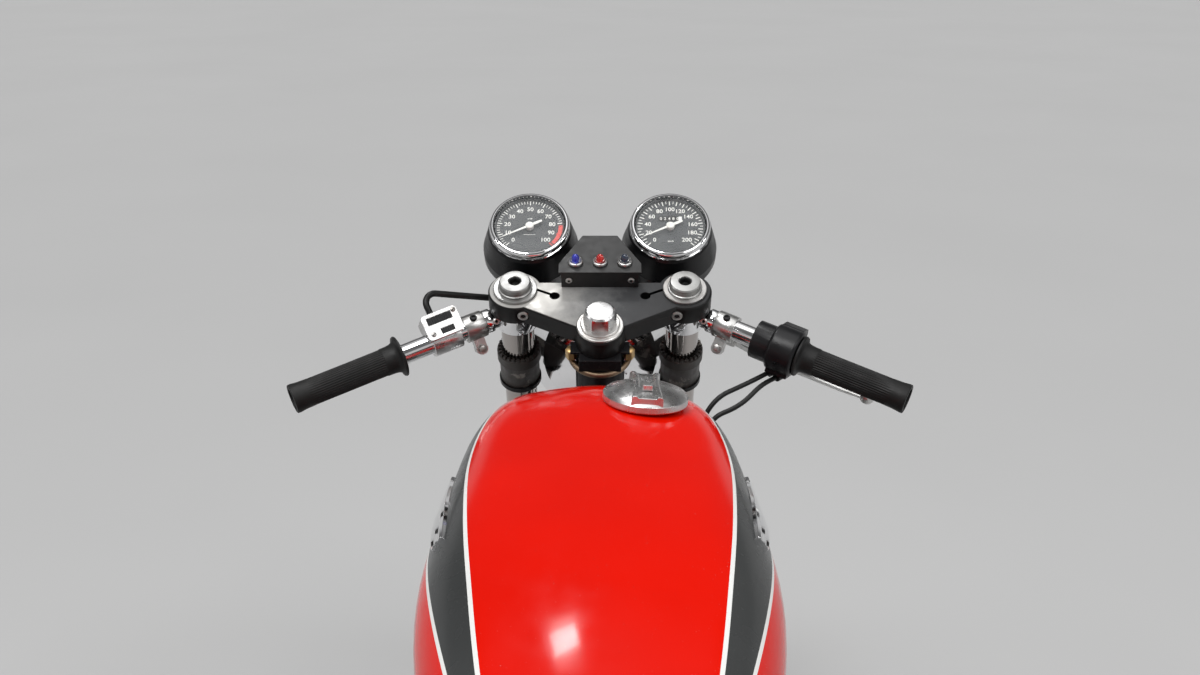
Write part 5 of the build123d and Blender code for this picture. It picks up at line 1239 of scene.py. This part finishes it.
def inflate(cushion, floor):
    """Remeshes a pad evenly and swells it by a short cloth run, each point by no more than a cap."""
    apply_now(cushion, "REMESH", mode="VOXEL", voxel_size=0.006)
    before = [v.co.copy() for v in cushion.data.vertices]
    group = cushion.vertex_groups.new(name="held")
    group.add([v.index for v in cushion.data.vertices if v.co.z < floor + 0.004], 1.0, "REPLACE")
    cloth = modify(cushion, "CLOTH")
    cloth.settings.use_pressure = True
    cloth.settings.uniform_pressure_force = 4
    cloth.settings.vertex_group_mass = "held"
    cloth.settings.effector_weights.gravity = 0
    scene = bpy.context.scene
    for step in range(1, 21):
        scene.frame_set(step)
    settled = cushion.evaluated_get(bpy.context.evaluated_depsgraph_get())
    moved = [v.co.copy() for v in settled.data.vertices]
    cushion.modifiers.remove(cloth)
    scene.frame_set(1)
    for vertex, old, new in zip(cushion.data.vertices, before, moved):
        step = new - old
        if step.length > SWELL_CAP:
            step *= SWELL_CAP / step.length
        vertex.co = old + step
    cover(cushion, "seat_vinyl")
    cushion.data.shade_smooth()


# Camera, floor and light
PHOTO_LENS = 39.75
PHOTO_EYE = (-0.948, 0, 1.322)
PHOTO_FALL = math.radians(18.5)


def camera():
    """The photo's camera: behind the seat, looking forwards and down."""
    data = bpy.data.cameras.new("photo_view")
    data.sensor_width = 36.0
    data.lens = PHOTO_LENS
    data.clip_end = 200.0
    eye = linked("photo_view", data)
    forward = Vector((math.cos(PHOTO_FALL), 0, -math.sin(PHOTO_FALL)))
    above = Vector((math.sin(PHOTO_FALL), 0, math.cos(PHOTO_FALL)))
    spot = Matrix((forward.cross(above), above, -forward)).transposed().to_4x4()
    spot.translation = PHOTO_EYE
    eye.matrix_world = spot
    bpy.context.scene.camera = eye


def studio_world():
    """A grey room, the same for every ray: plain at eye height, a dark belt above it and a bright ceiling."""
    world = bpy.data.worlds.new("studio")
    nodes = Nodes(world, "Generated")
    level = nodes.ramp(nodes.along((0, 0, 1)), [
        (0.0, grey(0.53)), (0.20, grey(0.50)), (0.32, grey(0.13)), (0.74, grey(0.13)), (0.86, grey(0.55)),
        (0.94, grey(1.7))])
    background = nodes.add("ShaderNodeBackground")
    nodes.link(level, background.inputs["Color"])
    output = nodes.add("ShaderNodeOutputWorld")
    nodes.link(background.outputs[0], output.inputs["Surface"])
    bpy.context.scene.world = world


def floor_finish():
    """Plain pale floor."""
    f = Finish("floor_grey")
    f.colour(f.ramp(f.noise(0.8, 3), [(0.3, grey(0.475)), (0.7, grey(0.487))]))
    f.gloss((0.8, 0.95), 3, 3)
    f.set(Specular_IOR_Level=0.05)
    return f.material


SUN_SIZE = {"angle": math.radians(28)}
ORIGIN = (0, 0, 0)
TANK_HEIGHT = (0.1, 0, 0.8)
LIGHTS = [
    # name, kind, place, what it points at, strength or watts, size
    ("sun_over", "SUN", (-0.9, 0.6, 1.7), ORIGIN, 1.45, SUN_SIZE),
    ("sun_rear", "SUN", (-1.0, -0.9, 1.2), ORIGIN, 0.65, SUN_SIZE),
    ("lamp_over", "AREA", (0.9, 0.25, 2.4), TANK_HEIGHT, 3.5, {"size": 0.18, "size_y": 0.12}),
    ("lamp_left", "AREA", (-0.1, 2.0, 1.9), TANK_HEIGHT, 4.0, {"size": 0.5, "size_y": 0.10}),
    ("lamp_right", "AREA", (-0.1, -2.0, 1.9), TANK_HEIGHT, 4.0, {"size": 0.5, "size_y": 0.10}),
    ("lamp_rear", "AREA", (-2.4, 0.5, 2.6), TANK_HEIGHT, 1.2, {"size": 0.10, "size_y": 0.07}),
]


def stage():
    """Floor, room and lights."""
    mesh = bpy.data.meshes.new("floor")
    reach = 60.0
    corners = [(-reach, -reach, 0), (reach, -reach, 0), (reach, reach, 0), (-reach, reach, 0)]
    mesh.from_pydata(corners, [], [[0, 1, 2, 3]])
    mesh.materials.append(floor_finish())
    floor = linked("floor", mesh)
    studio_world()
    for name, kind, spot, target, strength, size in LIGHTS:
        data = bpy.data.lights.new(name, kind)
        data.energy = strength
        if kind == "AREA":
            data.shape = "RECTANGLE"
        for key, value in size.items():
            setattr(data, key, value)
        lamp = linked(name, data)
        lamp.location = spot
        lamp.rotation_euler = (Vector(target) - Vector(spot)).to_track_quat("-Z", "Y").to_euler()
    bpy.context.scene.view_settings.view_transform = "Standard"


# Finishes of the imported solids
NODE_FINISH = {
    "headlamp_brackets": "collar_grey", "warning_panel": "bracket_black", "fork_stanchions": "old_chrome",
    "switch_box": "cap_chrome",
}
BEVELS = {
    "top_yoke": 0.8, "lower_yoke": 1.0, "crankcase": 1.5, "engine_covers": 1.2, "front_cylinder": 0.5,
    "rear_cylinder": 0.5, "headlamp_brackets": 0.5, "warning_panel": 0.8, "switch_box": 0.6, "levers": 0.8,
    "throttle_housing": 0.8, "clip_ons": 0.6, "side_covers": 3.0, "footrests": 0.8,
    "centre_stand": 1.0, "swingarm": 1.0, "frame": 0.8, "fork_sliders": 0.6, "tail_lamp": 2.0,
    "front_brake_plates": 1.0, "rear_brake_plate": 1.0, "drive_sprocket": 0.5, "shock_absorbers": 0.6,
}


def dress_nodes():
    """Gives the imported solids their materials, and the ones that show up close soft edges."""
    slots = {row["node"]: row["material_slot"] for row in frame["record"]["subparts"]}
    for name, node in NODES.items():
        cover(node, NODE_FINISH.get(name, slots[name]))
        if name in BEVELS:
            modify(node, "WELD", merge_threshold=2e-6)
            round_edges(node, BEVELS[name], 38)


CABLES = [
    # node, where its steering end stops turning with the bars, where its frame end starts to stay still
    ("throttle_cable_front", (364, -165, 833), (325, -82, 715)),
    ("throttle_cable_rear", (356, -172, 832), (316, -96, 700)),
]


def blend_cables():
    """Copies each throttle cable into a mesh of its own, in place of its solid."""
    for name, start, end in CABLES:
        shape = NODES[name]
        piece = linked(f"{name}_bent", shape.data.copy())
        piece.matrix_world = shape.matrix_world
        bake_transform(piece)
        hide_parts(name)


def main():
    camera()
    stage()
    dress_nodes()
    blend_cables()
    fuel_tank()
    tank_badges()
    filler_cap()
    dials()
    yoke_parts()
    fork_caps()
    under_yoke()
    fork_collars()
    warning_lamps()
    grips()
    bar_fittings()
    seat_hump()
    engine_screws()
    tyre("front_tyre", "front_wheel", FRONT_AXLE, FRONT_R, FRONT_TYRE_W, FRONT_RIM_W)
    tyre("rear_tyre", "rear_wheel", REAR_AXLE, REAR_R, REAR_TYRE_W, REAR_RIM_W)
    seat_pad()


main()
bpy.context.view_layer.update()
